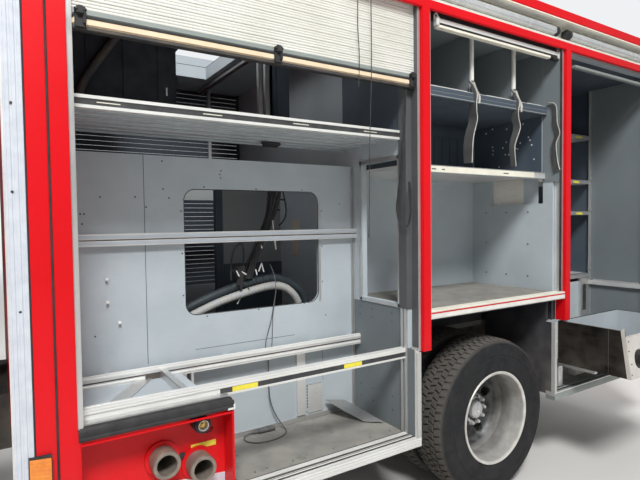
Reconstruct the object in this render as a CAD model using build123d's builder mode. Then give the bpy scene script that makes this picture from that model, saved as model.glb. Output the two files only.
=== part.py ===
# Pumper fire truck with a tilting crew cab and an equipment body with roller-shutter lockers.
# Millimetres. +X is forward, +Y is the truck's left, +Z is up. The origin is on the ground,
# in the middle of the truck's length and width.
import os
from math import cos, radians, sin, tan

from build123d import *

os.makedirs("parts", exist_ok=True)

# Whole truck
FRONT = 3900
REAR = -3900
SIDE = 1250
TOP = 3236

# Wheels
AXLE_FRONT = 2460
AXLE_REAR = -1740
TYRE_RADIUS = 505
RIM_RADIUS = 283
RIM_FLANGE = 298
RIM_BORE = 268
TRACK_OUTER = 1082.5
TRACK_INNER = 772.5
KINGPIN_Y = 960
ARCH_RADIUS = 640

# Chassis
RAIL_OUT = 425
RAIL_IN = 345
RAIL_LOW = 690
RAIL_HIGH = 940

# Equipment body: places along the truck
BODY_FRONT = 925
BODY_REAR = -3880
TRIM_REAR = 854
OPEN1 = (713, -1065)
OPEN2 = (-1127, -2442)
OPEN3 = (-2505, -3757)
BULKHEAD1 = (-1046, -1010)
BULKHEAD2 = (-2436, -2400)
BULKHEAD3 = (-3836, -3800)
FRONT_WALL = (895, 925)
ARCH1 = -1046
ARCH2 = -2334
LOW3_FRONT = -2345
NICHE = (85, 713)

# Equipment body: places across
POST_IN = 1180
BACK1 = 667
BACK2 = 460
BACK3 = 667
DEEP3 = 200
SHEET = 20
SEAM = 1

# Equipment body: heights
SILL_LOW = 507
FLOOR_UNDER = 540
FLOOR_LOW = 560
DECK = 980
LANDING = 1000
HOUSING_TOP = 1220
FLOOR_MID = 1267
CEILING = 2985
BEAM_LOW = 2969
BEAM_HIGH = 3021
FLANGE_LOW = 3009
EDGE_LOW = 3172

# Crew cab: outline sections from the bottom up
CAB_FRONT = 3850
CAB_REAR = 1060
CAB_HALF = 1175
CAB_LOW = 950
CAB_WALL = 50
CAB_FLOOR = 1000
CAB_CORNER = 160
CAB_SECTIONS = [
    # height, front, rear, half width
    (CAB_LOW, CAB_FRONT, CAB_REAR, CAB_HALF),
    (1750, CAB_FRONT, CAB_REAR, CAB_HALF),
    (2560, 3730, CAB_REAR, 1135),
    (2780, 3660, 1080, 1090),
    (2860, 3520, 1160, 980),
]
PIVOT_X = 3800
PIVOT_Z = 800
DOOR_GAP = 8
DOORS = [
    # name, rear edge, front edge, window rear, window front
    ("front", 2755, 3640, 2830, 3560),
    ("rear", 1705, 2655, 1790, 2580),
]
DOOR_LOW = 1160
DOOR_HIGH = 2600
WINDOW_LOW = 1720
WINDOW_HIGH = 2480
CAB_WINDOWS = [
    # x limits, y limits, z limits
    ((3400, 3900), (-1000, 1000), (1700, 2480)),
    ((1000, 1200), (-650, 650), (1850, 2400)),
    ((1190, 1610), (1000, 1200), (WINDOW_LOW, WINDOW_HIGH)),
    ((1190, 1610), (-1200, -1000), (WINDOW_LOW, WINDOW_HIGH)),
]

SIDES = [("left", 1), ("right", -1)]


def block(x, y, z, mode=Mode.ADD):
    """A box between two limits along each axis."""
    size = [abs(high - low) for low, high in (x, y, z)]
    centre = [(low + high) / 2 for low, high in (x, y, z)]
    with Locations(tuple(centre)):
        Box(*size, mode=mode)


def rod(start, end, radius, mode=Mode.ADD):
    """A cylinder from one point to another."""
    run = Vector(*end) - Vector(*start)
    with Locations(Plane(origin=start, z_dir=run)):
        Cylinder(radius, run.length, align=(Align.CENTER, Align.CENTER, Align.MIN), mode=mode)


def ring_about_axle(profile, axle_x):
    """A ring turned about an axle from (place across, radius) corners."""
    centre = (axle_x, 0, TYRE_RADIUS)
    with BuildSketch(Plane(origin=centre, x_dir=(0, 1, 0), z_dir=(1, 0, 0))) as section:
        with BuildLine():
            Polyline(*profile, close=True)
        make_face()
    revolve(section.sketch, axis=Axis(centre, (0, 1, 0)))


def cab_loft(inset, low, mode=Mode.ADD):
    """The cab's outline, moved inward by an inset and started at a given height."""
    sketches = []
    for height, front, rear, half in CAB_SECTIONS:
        z = low if height == CAB_LOW else height
        z = z - inset if height == CAB_SECTIONS[-1][0] else z
        with BuildSketch(Plane.XY.offset(z)) as section:
            with Locations(((front + rear) / 2, 0)):
                RectangleRounded(front - rear - 2 * inset, 2 * (half - inset), CAB_CORNER - inset)
        sketches.append(section.sketch)
    loft(sketches, ruled=True, mode=mode)


def save(builder, name):
    """Labels a finished piece and writes it."""
    builder.part.label = name
    export_step(builder.part, f"parts/{name}.step")


# Chassis frame: two channel rails, their cross members, and the brackets of the cab's pivot
CROSS_MEMBERS = [3600, 1450, 300, -900, -2500, -3700]
with BuildPart() as chassis_frame:
    block((-3780, 3760), (RAIL_IN, RAIL_OUT), (RAIL_LOW, RAIL_HIGH))
    block((-3781, 3761), (RAIL_IN - 1, RAIL_OUT - 10), (RAIL_LOW + 12, RAIL_HIGH - 12), Mode.SUBTRACT)
    for x in CROSS_MEMBERS:
        block((x - 30, x + 30), (0, RAIL_OUT - 10), (RAIL_LOW + 80, RAIL_HIGH - 50))
    block((3700, PIVOT_X), (380, RAIL_OUT), (PIVOT_Z - 35, PIVOT_Z + 35))
    rod((PIVOT_X, 380, PIVOT_Z), (PIVOT_X, RAIL_OUT, PIVOT_Z), 35)
    rod((PIVOT_X, RAIL_OUT, PIVOT_Z), (PIVOT_X, 475, PIVOT_Z), 18)
    block((1140, 1220), (RAIL_IN, RAIL_OUT), (RAIL_HIGH, 990))
    mirror(about=Plane.XZ)
save(chassis_frame, "chassis_frame")

# Front bumper with pockets for the headlamps and a towing eye
BUMPER_BACK = 3760
BUMPER_LOW = 380
BUMPER_HIGH = 740
LAMP_Y = (770, 1030)
LAMP_Z = (560, 690)
LAMP_BACK = 3860
with BuildPart() as front_bumper:
    with BuildSketch(Plane.XY.offset(BUMPER_LOW)):
        with Locations(((BUMPER_BACK + FRONT) / 2 - 60, 0)):
            RectangleRounded(FRONT - BUMPER_BACK + 120, 2 * CAB_HALF, 110)
    extrude(amount=BUMPER_HIGH - BUMPER_LOW)
    block((3000, BUMPER_BACK), (-SIDE, SIDE), (0, 1000), Mode.SUBTRACT)
    block((BUMPER_BACK - 1, 3830), (-1080, 1080), (BUMPER_LOW - 1, 680), Mode.SUBTRACT)
    for side in (1, -1):
        block((LAMP_BACK, FRONT + 1), (side * LAMP_Y[0], side * LAMP_Y[1]), LAMP_Z, Mode.SUBTRACT)
        block((BUMPER_BACK, 3830), (side * RAIL_IN, side * RAIL_OUT), (RAIL_LOW, BUMPER_HIGH))
    block((3829, FRONT), (-70, 70), (440, 580), Mode.SUBTRACT)
    block((3829, FRONT - 30), (-70, 70), (440, 580))
    with Locations(Plane(origin=(FRONT - 31, 0, 510), z_dir=(1, 0, 0))):
        Cylinder(20, 120, mode=Mode.SUBTRACT)
save(front_bumper, "front_bumper")

# Axles with their leaf springs
SPRING_LOW = 596
with BuildPart() as front_axle:
    block((AXLE_FRONT - 45, AXLE_FRONT + 45), (0, 700), (380, 470))
    block((AXLE_FRONT - 45, AXLE_FRONT + 45), (620, 900), (425, 585))
    rod((AXLE_FRONT, KINGPIN_Y, 420), (AXLE_FRONT, KINGPIN_Y, 590), 45)
    block((AXLE_FRONT - 40, AXLE_FRONT + 40), (880, KINGPIN_Y), (430, 580))
    block((AXLE_FRONT - 60, AXLE_FRONT + 60), (RAIL_IN, RAIL_OUT), (470, 600))
    block((AXLE_FRONT - 700, AXLE_FRONT + 700), (RAIL_IN, RAIL_OUT), (600, 640))
    block((AXLE_FRONT - 700, AXLE_FRONT - 640), (RAIL_IN, RAIL_OUT), (640, RAIL_LOW))
    block((AXLE_FRONT + 640, AXLE_FRONT + 700), (RAIL_IN, RAIL_OUT), (640, RAIL_LOW))
    mirror(about=Plane.XZ)
save(front_axle, "front_axle")

DIFFERENTIAL = 215
DRUM = 205
with BuildPart() as rear_axle:
    rod((AXLE_REAR, 0, TYRE_RADIUS), (AXLE_REAR, 650, TYRE_RADIUS), 90)
    rod((AXLE_REAR, 640, TYRE_RADIUS), (AXLE_REAR, 895, TYRE_RADIUS), DRUM)
    with Locations((AXLE_REAR, 0, TYRE_RADIUS)):
        Sphere(DIFFERENTIAL)
    block((AXLE_REAR - 70, AXLE_REAR + 70), (RAIL_IN, RAIL_OUT), (540, 610))
    block((AXLE_REAR - 720, AXLE_REAR + 720), (RAIL_IN, RAIL_OUT), (SPRING_LOW, 655))
    for x in (AXLE_REAR - 690, AXLE_REAR + 690):
        block((x - 30, x + 30), (RAIL_IN, RAIL_OUT), (655, RAIL_LOW))
    rod((AXLE_REAR, 0, TYRE_RADIUS + 40), (1685, 0, 720), 42)
    mirror(about=Plane.XZ)
save(rear_axle, "rear_axle")

# Engine with its gearbox, one plain mass
with BuildPart() as engine_block:
    block((2300, 3400), (-330, 330), (540, 1250))
    block((1690, 2300), (-190, 190), (620, 960))
save(engine_block, "engine_block")

# Tanks beside the frame
with BuildPart() as fuel_tanks:
    block((120, 860), (RAIL_OUT, 640), (600, 900))
    rod((-900, 532, 640), (-250, 532, 640), 105)
    block((-700, -660), (RAIL_OUT, 532), (RAIL_LOW + 5, 745))
    block((-480, -440), (RAIL_OUT, 532), (RAIL_LOW + 5, 745))
    mirror(about=Plane.XZ)
save(fuel_tanks, "fuel_tanks")

# Steps under the cab doors, with the front mudguards
STEP_BOXES = [
    # rear, front
    (3135, 3640),
    (1120, 1780),
]
STEP_LOW = 400
STEP_HIGH = 900
with BuildPart() as cab_steps:
    with BuildSketch(Plane.XZ.offset(-900)):
        with Locations((AXLE_FRONT, TYRE_RADIUS)):
            Circle(ARCH_RADIUS + 8)
            Circle(ARCH_RADIUS, mode=Mode.SUBTRACT)
    extrude(amount=-340)
    block((1000, 4000), (800, 1300), (-300, 560), Mode.SUBTRACT)
    block((3094, 3140), (950, 1010), (562, 640))
    block((1775, 1826), (950, 1010), (562, 640))
    for rear, front in STEP_BOXES:
        block((rear, front), (900, 1235), (STEP_LOW, STEP_HIGH))
        block((rear + 40, front - 40), (1090, 1236), (STEP_LOW + 60, 620), Mode.SUBTRACT)
        block((rear + 40, front - 40), (1090, 1236), (670, STEP_HIGH - 40), Mode.SUBTRACT)
        middle = (rear + front) / 2
        block((middle - 40, middle + 40), (RAIL_OUT, 900), (RAIL_LOW + 10, 770))
    mirror(about=Plane.XZ)
save(cab_steps, "cab_steps")

# Red frame of the body: posts, beams and the front wall
with BuildPart() as body_frame:
    block((OPEN1[0], TRIM_REAR), (POST_IN, SIDE), (450, BEAM_HIGH))
    block((OPEN2[0], OPEN1[1]), (POST_IN, SIDE), (1043, BEAM_HIGH))
    block((OPEN3[0], OPEN2[1]), (POST_IN, SIDE), (1060, BEAM_HIGH))
    block((BODY_REAR, OPEN3[1]), (POST_IN, SIDE), (SILL_LOW, BEAM_HIGH))
    block((BODY_REAR, TRIM_REAR), (SIDE - 15, SIDE), (BEAM_LOW, BEAM_HIGH))
    block((BODY_REAR, TRIM_REAR), (1150, SIDE), (FLANGE_LOW, BEAM_HIGH))
    block((784, TRIM_REAR), (1150, SIDE), (BEAM_HIGH, EDGE_LOW))
    block((BODY_REAR, -3800), (1150, SIDE), (BEAM_HIGH, EDGE_LOW))
    block((BODY_REAR, BODY_FRONT), (1150, SIDE), (EDGE_LOW, TOP))
    block((855, BODY_FRONT), (0, 1150), (EDGE_LOW, TOP))
    block((BODY_REAR, -3810), (0, 1150), (EDGE_LOW, TOP))
    block(FRONT_WALL, (0, POST_IN), (DECK, EDGE_LOW))
    mirror(about=Plane.XZ)
save(body_frame, "body_frame")

# Roof: panels round a hatchway with a raised rim, and a gallery along each side
HATCH_X = (-554, 200)
HATCH_HALF = 760
HATCH_RIM = 20
RIM_HIGH = 3080
GALLERY_IN = 880
GALLERY_REAR = -3800
GALLERY_FRONT = 784
ROOF_ENDS = [
    # rear edge, front edge, rim's rear, rim's front
    (BULKHEAD3[0], HATCH_X[0], HATCH_X[0] - HATCH_RIM, HATCH_X[0]),
    (HATCH_X[1], FRONT_WALL[0], HATCH_X[1], HATCH_X[1] + HATCH_RIM),
]
with BuildPart() as body_roof:
    for rear, front, rim_rear, rim_front in ROOF_ENDS:
        block((rear, front), (0, POST_IN), (CEILING, FLANGE_LOW))
        block((rim_rear, rim_front), (0, HATCH_HALF + HATCH_RIM), (FLANGE_LOW, RIM_HIGH))
    beside_hatch = (HATCH_X[0] + SEAM, HATCH_X[1] - SEAM)
    block(beside_hatch, (HATCH_HALF, POST_IN), (CEILING, FLANGE_LOW))
    block(beside_hatch, (HATCH_HALF, HATCH_HALF + HATCH_RIM), (FLANGE_LOW, RIM_HIGH))
    block((GALLERY_REAR, FRONT_WALL[0]), (GALLERY_IN, GALLERY_IN + 15), (FLANGE_LOW + SEAM, EDGE_LOW))
    block((GALLERY_REAR, GALLERY_FRONT), (GALLERY_IN, 1150), (EDGE_LOW, EDGE_LOW + 18))
    mirror(about=Plane.XZ)
save(body_roof, "body_roof")

# Cross walls between the lockers
PASSAGE_Y = (764, 1099)
PASSAGE_Z = (1305, 2143)
SLOT_Y = (645, 1103)
SLOT_Z = (1900, 2110)
with BuildPart() as bulkheads:
    block(BULKHEAD1, (0, POST_IN), (DECK, CEILING))
    block(BULKHEAD1, (BACK1 - SHEET, POST_IN), (FLOOR_UNDER, DECK))
    block((-1100, -1000), PASSAGE_Y, PASSAGE_Z, Mode.SUBTRACT)
    block(BULKHEAD2, (0, POST_IN), (FLOOR_MID, CEILING))
    block((-2500, -2350), SLOT_Y, SLOT_Z, Mode.SUBTRACT)
    block((LOW3_FRONT, ARCH2), (BACK3 - SHEET, POST_IN), (FLOOR_UNDER, HOUSING_TOP))
    block(BULKHEAD3, (BACK3 - SHEET, POST_IN), (FLOOR_UNDER, CEILING))
    block(BULKHEAD3, (0, BACK3 - SHEET), (DECK, CEILING))
    mirror(about=Plane.XZ)
save(bulkheads, "bulkheads")

# Back wall of the first locker: a frame in four parts round a cut-out, and plain panels round the frame
WALL_TOP = 2140
CUTOUT_X = (-735, 100)
CUTOUT_Z = (1300, 1960)
CUTOUT_CORNER = 95
CUTOUT_FRAME = 40
FRAME_X = (CUTOUT_X[0] - CUTOUT_FRAME, CUTOUT_X[1] + CUTOUT_FRAME)
FRAME_Z = (CUTOUT_Z[0] - CUTOUT_FRAME, CUTOUT_Z[1] + CUTOUT_FRAME)
wall_y = (BACK1 - SHEET, BACK1)
with BuildPart() as locker_back_walls:
    with BuildSketch(Plane.XZ.offset(-BACK1)):
        with Locations((sum(CUTOUT_X) / 2, sum(CUTOUT_Z) / 2)):
            Rectangle(FRAME_X[1] - FRAME_X[0], FRAME_Z[1] - FRAME_Z[0])
            RectangleRounded(
                CUTOUT_X[1] - CUTOUT_X[0], CUTOUT_Z[1] - CUTOUT_Z[0], CUTOUT_CORNER, mode=Mode.SUBTRACT
            )
            Rectangle(2 * SEAM, WALL_TOP, mode=Mode.SUBTRACT)
            Rectangle(WALL_TOP, 2 * SEAM, mode=Mode.SUBTRACT)
    extrude(amount=SHEET)
    block((BULKHEAD1[1], FRAME_X[0] - SEAM), wall_y, (FLOOR_LOW, WALL_TOP))
    block((FRAME_X[1] + SEAM, FRONT_WALL[0]), wall_y, (FLOOR_LOW, WALL_TOP))
    block(FRAME_X, wall_y, (FRAME_Z[1] + SEAM, WALL_TOP))
    block(FRAME_X, wall_y, (FLOOR_LOW, FRAME_Z[0] - SEAM))
    mirror(about=Plane.XZ)
save(locker_back_walls, "locker_back_walls")

# Plain walls behind the second and third lockers
with BuildPart() as inner_walls:
    block((BULKHEAD2[1], BULKHEAD1[0]), (BACK2 - SHEET, BACK2), (FLOOR_MID, CEILING))
    block((BULKHEAD3[1], BULKHEAD2[0]), (DEEP3 - SHEET, DEEP3), (DECK, CEILING))
    block((BULKHEAD3[1], LOW3_FRONT), (BACK3 - SHEET, BACK3), (FLOOR_LOW, 1200))
    mirror(about=Plane.XZ)
save(inner_walls, "inner_walls")

# Floors
with BuildPart() as locker_floors:
    block((BULKHEAD3[0], FRONT_WALL[1]), (0, 600), (RAIL_HIGH, DECK))
    block((BULKHEAD1[0], FRONT_WALL[1]), (600, BACK1 - SHEET), (RAIL_HIGH, DECK))
    block((BULKHEAD3[0], LOW3_FRONT), (600, BACK1 - SHEET), (RAIL_HIGH, DECK))
    block((BULKHEAD1[1], NICHE[0]), (BACK1 - SHEET, POST_IN), (FLOOR_UNDER, FLOOR_LOW))
    block((NICHE[0], FRONT_WALL[0]), (BACK1 - SHEET, 1130), (FLOOR_UNDER, FLOOR_LOW))
    block((BULKHEAD3[1], LOW3_FRONT), (BACK3 - SHEET, POST_IN), (FLOOR_UNDER, FLOOR_LOW))
    block((BULKHEAD2[0], BULKHEAD1[0]), (0, POST_IN), (HOUSING_TOP, FLOOR_MID))
    mirror(about=Plane.XZ)
save(locker_floors, "locker_floors")

# Housings over the rear wheels
with BuildPart() as wheel_housings:
    block((ARCH2, ARCH1), (600, POST_IN), (HOUSING_TOP - 25, HOUSING_TOP))
    block((ARCH1 - 10, ARCH1), (BACK1 - SHEET, POST_IN), (FLOOR_UNDER, HOUSING_TOP - 25))
    block((ARCH2, ARCH2 + 10), (BACK1 - SHEET, POST_IN), (FLOOR_UNDER, HOUSING_TOP - 25))
    block((ARCH2, ARCH1), (600, 612), (DECK, HOUSING_TOP - 25))
    mirror(about=Plane.XZ)
save(wheel_housings, "wheel_housings")

# Bright profiles on the sides: corner trims, sills and the shutters' guide channels
GUIDE = 22
GUIDES = [
    # front edge, foot
    (OPEN1[0], LANDING),
    (OPEN1[1] + GUIDE, 1043),
    (OPEN2[0], FLOOR_MID),
    (OPEN2[1] + GUIDE, FLOOR_MID),
    (OPEN3[0], 1060),
    (OPEN3[1] + GUIDE, FLOOR_LOW),
]
with BuildPart() as side_profiles:
    block((TRIM_REAR, BODY_FRONT), (POST_IN, SIDE), (450, EDGE_LOW))
    block((ARCH1, NICHE[0]), (POST_IN, SIDE), (SILL_LOW, FLOOR_LOW))
    block((ARCH1, -1013), (POST_IN, SIDE), (FLOOR_LOW, 1043))
    block((OPEN2[1], OPEN2[0]), (POST_IN, SIDE), (HOUSING_TOP, FLOOR_MID))
    block((OPEN3[1], ARCH2 + 10), (POST_IN, SIDE), (533, FLOOR_LOW))
    block((LOW3_FRONT, ARCH2 + 10), (POST_IN, SIDE), (FLOOR_LOW, 1060))
    for front, foot in GUIDES:
        block((front - GUIDE, front), (1184, 1230), (foot, FLANGE_LOW))
    mirror(about=Plane.XZ)
save(side_profiles, "side_profiles")

# Pump inlet niches
NICHE_DEEP = 1150
NICHE_HIGH = 978
PORTS = [
    # place along, height
    (380, 780),
    (224, 720),
]
VALVE = (216, 906)
PIPE = 55
PIPE_BORE = 42
PIPE_MOUTH = 1235
with BuildPart() as pump_niches:
    block(NICHE, (1130, SIDE), (SILL_LOW, LANDING))
    block((NICHE[0] + 10, NICHE[1] - 9), (NICHE_DEEP, SIDE + 1), (SILL_LOW + 10, NICHE_HIGH), Mode.SUBTRACT)
    for x, z in PORTS:
        rod((x, 1100, z), (x, 1200, z), PIPE + 3, Mode.SUBTRACT)
    mirror(about=Plane.XZ)
save(pump_niches, "pump_niches")

with BuildPart() as pump_ports:
    for x, z in PORTS:
        rod((x, 950, z), (x, PIPE_MOUTH, z), PIPE)
        rod((x, NICHE_DEEP, z), (x, NICHE_DEEP + 10, z), PIPE + 18)
        rod((x, 1010, z), (x, PIPE_MOUTH + 1, z), PIPE_BORE, Mode.SUBTRACT)
    rod((VALVE[0], NICHE_DEEP, VALVE[1]), (VALVE[0], NICHE_DEEP + 45, VALVE[1]), 34)
    mirror(about=Plane.XZ)
save(pump_ports, "pump_ports")

# Light channels along the roof edge, and the tube lights in them
with BuildPart() as light_channels:
    channel = (GALLERY_REAR, GALLERY_FRONT)
    block(channel, (1150, 1165), (BEAM_HIGH, EDGE_LOW))
    block(channel, (1165, SIDE), (BEAM_HIGH, BEAM_HIGH + 5))
    block(channel, (1165, SIDE), (EDGE_LOW - 5, EDGE_LOW))
    mirror(about=Plane.XZ)
save(light_channels, "light_channels")

TUBE_Y = 1204
TUBE_Z = 3097
TUBE_RADIUS = 32
TUBES = [
    # front end, rear end
    (770, -760),
    (-870, -2398),
    (-2507, -3785),
]
with BuildPart() as area_lights:
    for front, rear in TUBES:
        rod((rear, TUBE_Y, TUBE_Z), (front, TUBE_Y, TUBE_Z), TUBE_RADIUS)
        for x in (rear, front - 40):
            block((x, x + 40), (1165, TUBE_Y + 34), (TUBE_Z - 34, TUBE_Z + 34))
    mirror(about=Plane.XZ)
save(area_lights, "area_lights")

# Roller shutters on the left, as they stand: the first partly down, the others up
CURTAIN_Y = (1197, 1209)
BAR_Y = (1188, 1224)
BAR_HIGH = 80
LEFT_SHUTTERS = [
    # opening, foot of the bar
    (OPEN1, 2520),
    (OPEN2, 2893),
    (OPEN3, 2893),
]
with BuildPart() as left_shutters:
    for (front, rear), foot in LEFT_SHUTTERS:
        span = (rear + GUIDE, front - GUIDE)
        block(span, CURTAIN_Y, (foot + BAR_HIGH, FLANGE_LOW))
        block(span, BAR_Y, (foot, foot + BAR_HIGH))
save(left_shutters, "left_shutters")

# Roller shutters on the right and at the rear, all down
RIGHT_SHUTTERS = [
    # opening, foot of the bar
    (OPEN1, 1058),
    (OPEN2, FLOOR_MID + 2),
    (OPEN3, 1060),
]
REAR_OPEN_HALF = 640
REAR_OPEN_Z = (1080, 2700)
with BuildPart() as closed_shutters:
    for (front, rear), foot in RIGHT_SHUTTERS:
        span = (rear + GUIDE, front - GUIDE)
        block(span, (-CURTAIN_Y[1], -CURTAIN_Y[0]), (foot + BAR_HIGH, FLANGE_LOW))
        block(span, (-BAR_Y[1], -BAR_Y[0]), (foot, foot + BAR_HIGH))
    block((-3864, -3852), (-REAR_OPEN_HALF, REAR_OPEN_HALF), (REAR_OPEN_Z[0] + BAR_HIGH, REAR_OPEN_Z[1]))
    block((-3874, -3842), (-REAR_OPEN_HALF, REAR_OPEN_HALF), (REAR_OPEN_Z[0], REAR_OPEN_Z[0] + BAR_HIGH))
save(closed_shutters, "closed_shutters")

# Rear wall
with BuildPart() as rear_panel:
    block((BODY_REAR, BULKHEAD3[0]), (0, POST_IN), (RAIL_HIGH, FLANGE_LOW))
    block((BODY_REAR, BULKHEAD3[0]), (0, 1150), (FLANGE_LOW, EDGE_LOW))
    block((BODY_REAR, BULKHEAD3[0]), (BACK3 - SHEET, POST_IN), (SILL_LOW, RAIL_HIGH))
    block((BODY_REAR - 1, BULKHEAD3[0] + 1), (-1, REAR_OPEN_HALF), REAR_OPEN_Z, Mode.SUBTRACT)
    mirror(about=Plane.XZ)
save(rear_panel, "rear_panel")

# Rear underrun beam with its hangers, and the ladder to the roof
LADDER_Y = (-1120, -760)
RUNG_STEP = 280
with BuildPart() as rear_ladder:
    for side in (1, -1):
        block((-3830, -3700), (side * RAIL_IN, side * RAIL_OUT), (470, RAIL_LOW))
    block((REAR, -3830), (-1150, 1150), (400, 500))
    for y in LADDER_Y:
        block((REAR, REAR + 20), (y - 15, y + 15), (640, TOP))
    for rung in range(9):
        height = 760 + rung * RUNG_STEP
        rod((REAR + 10, LADDER_Y[0], height), (REAR + 10, LADDER_Y[1], height), 9)
save(rear_ladder, "rear_ladder")

# Lamps: headlamps, amber at the front corners of the body, red clusters at the rear
with BuildPart() as lamps:
    block((LAMP_BACK, FRONT - 6), (LAMP_Y[0] + 4, LAMP_Y[1] - 4), (LAMP_Z[0] + 4, LAMP_Z[1] - 4))
    block((805, 875), (SIDE, SIDE + 32), (800, 949))
    block((REAR + 4, BODY_REAR), (900, 1120), (530, 610))
    mirror(about=Plane.XZ)
save(lamps, "lamps")

# Fittings of the first locker: rails, shelf, cover strip, louvre and the cable's clip
SHELF1_Z = (2250, 2300)
CORD_START = (-365, 692, 985)
with BuildPart() as locker1_fittings:
    block((BULKHEAD1[1], FRONT_WALL[0]), (BACK1, 700), (1680, 1740))
    block((BULKHEAD1[1], FRONT_WALL[0]), (BACK1 + 38, 735), (998, 1060))
    for x in (-980, -700, -120, 500, 860):
        block((x, x + 24), (BACK1, BACK1 + 38), (1010, 1050))
    block((BULKHEAD1[1], FRONT_WALL[0]), (1125, 1165), (LANDING, 1057))
    block((BULKHEAD1[1], FRONT_WALL[0]), (1095, 1132), SHELF1_Z)
    block((BULKHEAD1[1], FRONT_WALL[0]), (560, 1095), (2262, 2286))
    block((-622, -565), (BACK1, BACK1 + 14), (600, 998))
    block((-750, -642), (BACK1, BACK1 + 8), (601, 775))
    block((CORD_START[0] - 12, CORD_START[0] + 12), (BACK1, CORD_START[1] + 12), (CORD_START[2], 1000))
save(locker1_fittings, "locker1_fittings")

# Loose cable in the first locker, from its clip down to the floor and round to its plug
CORD_RADIUS = 3.5
CORD_REST = FLOOR_LOW + CORD_RADIUS + 0.5
PLUG_RADIUS = 14
PLUG_START = (-262, 692, FLOOR_LOW + PLUG_RADIUS)
CORD_ROUTE = [
    CORD_START,
    (-365, 692, 925),
    (-370, 690, 850),
    (-375, 696, 775),
    (-388, 694, 705),
    (-414, 702, 645),
    (-446, 716, 602),
    (-472, 744, 576),
    (-466, 790, CORD_REST),
    (-424, 822, CORD_REST),
    (-366, 836, CORD_REST),
    (-306, 832, CORD_REST),
    (-250, 808, CORD_REST),
    (-208, 768, CORD_REST + 1),
    (-196, 720, 568),
    (-222, 691, 574),
    PLUG_START,
]


def bend_radii(route):
    """The largest bend that each corner's two runs allow."""
    radii = []
    for before, corner, after in zip(route, route[1:], route[2:]):
        run_in = Vector(*corner) - Vector(*before)
        run_out = Vector(*after) - Vector(*corner)
        turn = run_in.get_angle(run_out)
        radii.append(0.45 * min(run_in.length, run_out.length) / tan(radians(turn / 2)))
    return radii


CORD_RADII = bend_radii(CORD_ROUTE)
print("cable bend radii:", [round(radius) for radius in CORD_RADII])
with BuildPart() as locker1_cable:
    with BuildLine() as cord_path:
        FilletPolyline(*CORD_ROUTE, radius=CORD_RADII)
    first_run = Vector(*CORD_ROUTE[1]) - Vector(*CORD_ROUTE[0])
    with BuildSketch(Plane(origin=CORD_START, z_dir=first_run)):
        Circle(CORD_RADIUS)
    sweep(path=cord_path.wires()[0])
cord_length = cord_path.wires()[0].length
print("cable length:", round(cord_length), "volume over tube:",
      round(locker1_cable.part.volume / (cord_length * 3.14159 * CORD_RADIUS ** 2), 4))
save(locker1_cable, "locker1_cable")

with BuildPart() as cable_plug:
    last_run = (Vector(*CORD_ROUTE[-1]) - Vector(*CORD_ROUTE[-2])).normalized()
    plug_run = Vector(last_run.X, last_run.Y, 0).normalized()
    sleeve_end = Vector(*PLUG_START) + plug_run * 36
    plug_end = sleeve_end + plug_run * 105
    rod(PLUG_START, tuple(sleeve_end), 8)
    rod(tuple(sleeve_end), tuple(plug_end), PLUG_RADIUS)
save(cable_plug, "cable_plug")

# Shelves of the second and third lockers, both sides alike, and the drawer's fixed rails on the left
DIVIDERS = [-1659, -2084]
SHELF2_Z = (2074, 2119)
RACK2_Z = (2532, 2592)
RACK2_FLOOR = (2552, 2574)
SLIDE_X = [(-3210, -3180), (-2520, -2490)]
SHELF3_TOPS = [2555, 2140, 1850, 1262]
with BuildPart() as locker_shelves:
    bay2 = (BULKHEAD2[1], BULKHEAD1[0])
    block(bay2, (1085, 1120), SHELF2_Z)
    block(bay2, (BACK2, 1085), (2090, 2112))
    block(bay2, (1095, 1130), RACK2_Z)
    block(bay2, (BACK2, 1095), RACK2_FLOOR)
    for x in DIVIDERS:
        block((x - 10, x + 10), (BACK2, 1094), (RACK2_FLOOR[1], CEILING))
    for top in SHELF3_TOPS:
        block((BULKHEAD3[1], BULKHEAD2[0]), (DEEP3, BACK3), (top - 30, top))
    block((BULKHEAD3[1], BULKHEAD3[1] + 30), (BACK3 + 5, POST_IN), (1165, 1200))
    mirror(about=Plane.XZ)
    for rear, front in SLIDE_X:
        block((rear - 10, front + 10), (680, POST_IN), (FLOOR_LOW, 707))
save(locker_shelves, "locker_shelves")

# Webbing straps hanging in the second locker, and a long loop in the first
STRAPS = [-1637, -2060, -2385]
STRAP_Z = (2128, 2720)
with BuildPart() as straps:
    for x in STRAPS:
        block((x - 14, x + 14), (1135, 1139), STRAP_Z)
        block((x - 14, x + 14), (1130, 1135), (RACK2_Z[0] + 20, RACK2_Z[1] - 15))
    block((-1009.8, -1006), (1140, 1165), (1480, 2240))
save(straps, "straps")

# Crew cab: shell with its door openings, windows and wheel arches cut
with BuildPart() as cab_shell:
    cab_loft(0, CAB_LOW)
    cab_loft(CAB_WALL, CAB_LOW - 20, Mode.SUBTRACT)
    for name, rear, front, window_rear, window_front in DOORS:
        x = (rear - DOOR_GAP, front + DOOR_GAP)
        z = (DOOR_LOW - DOOR_GAP, DOOR_HIGH + DOOR_GAP)
        block(x, (-SIDE, SIDE), z, Mode.SUBTRACT)
    for x, y, z in CAB_WINDOWS:
        block(x, y, z, Mode.SUBTRACT)
    with BuildSketch(Plane.XZ.offset(-SIDE)):
        with Locations((AXLE_FRONT, TYRE_RADIUS)):
            Circle(ARCH_RADIUS + 28)
    extrude(amount=2 * SIDE, mode=Mode.SUBTRACT)
save(cab_shell, "cab_shell")

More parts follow.
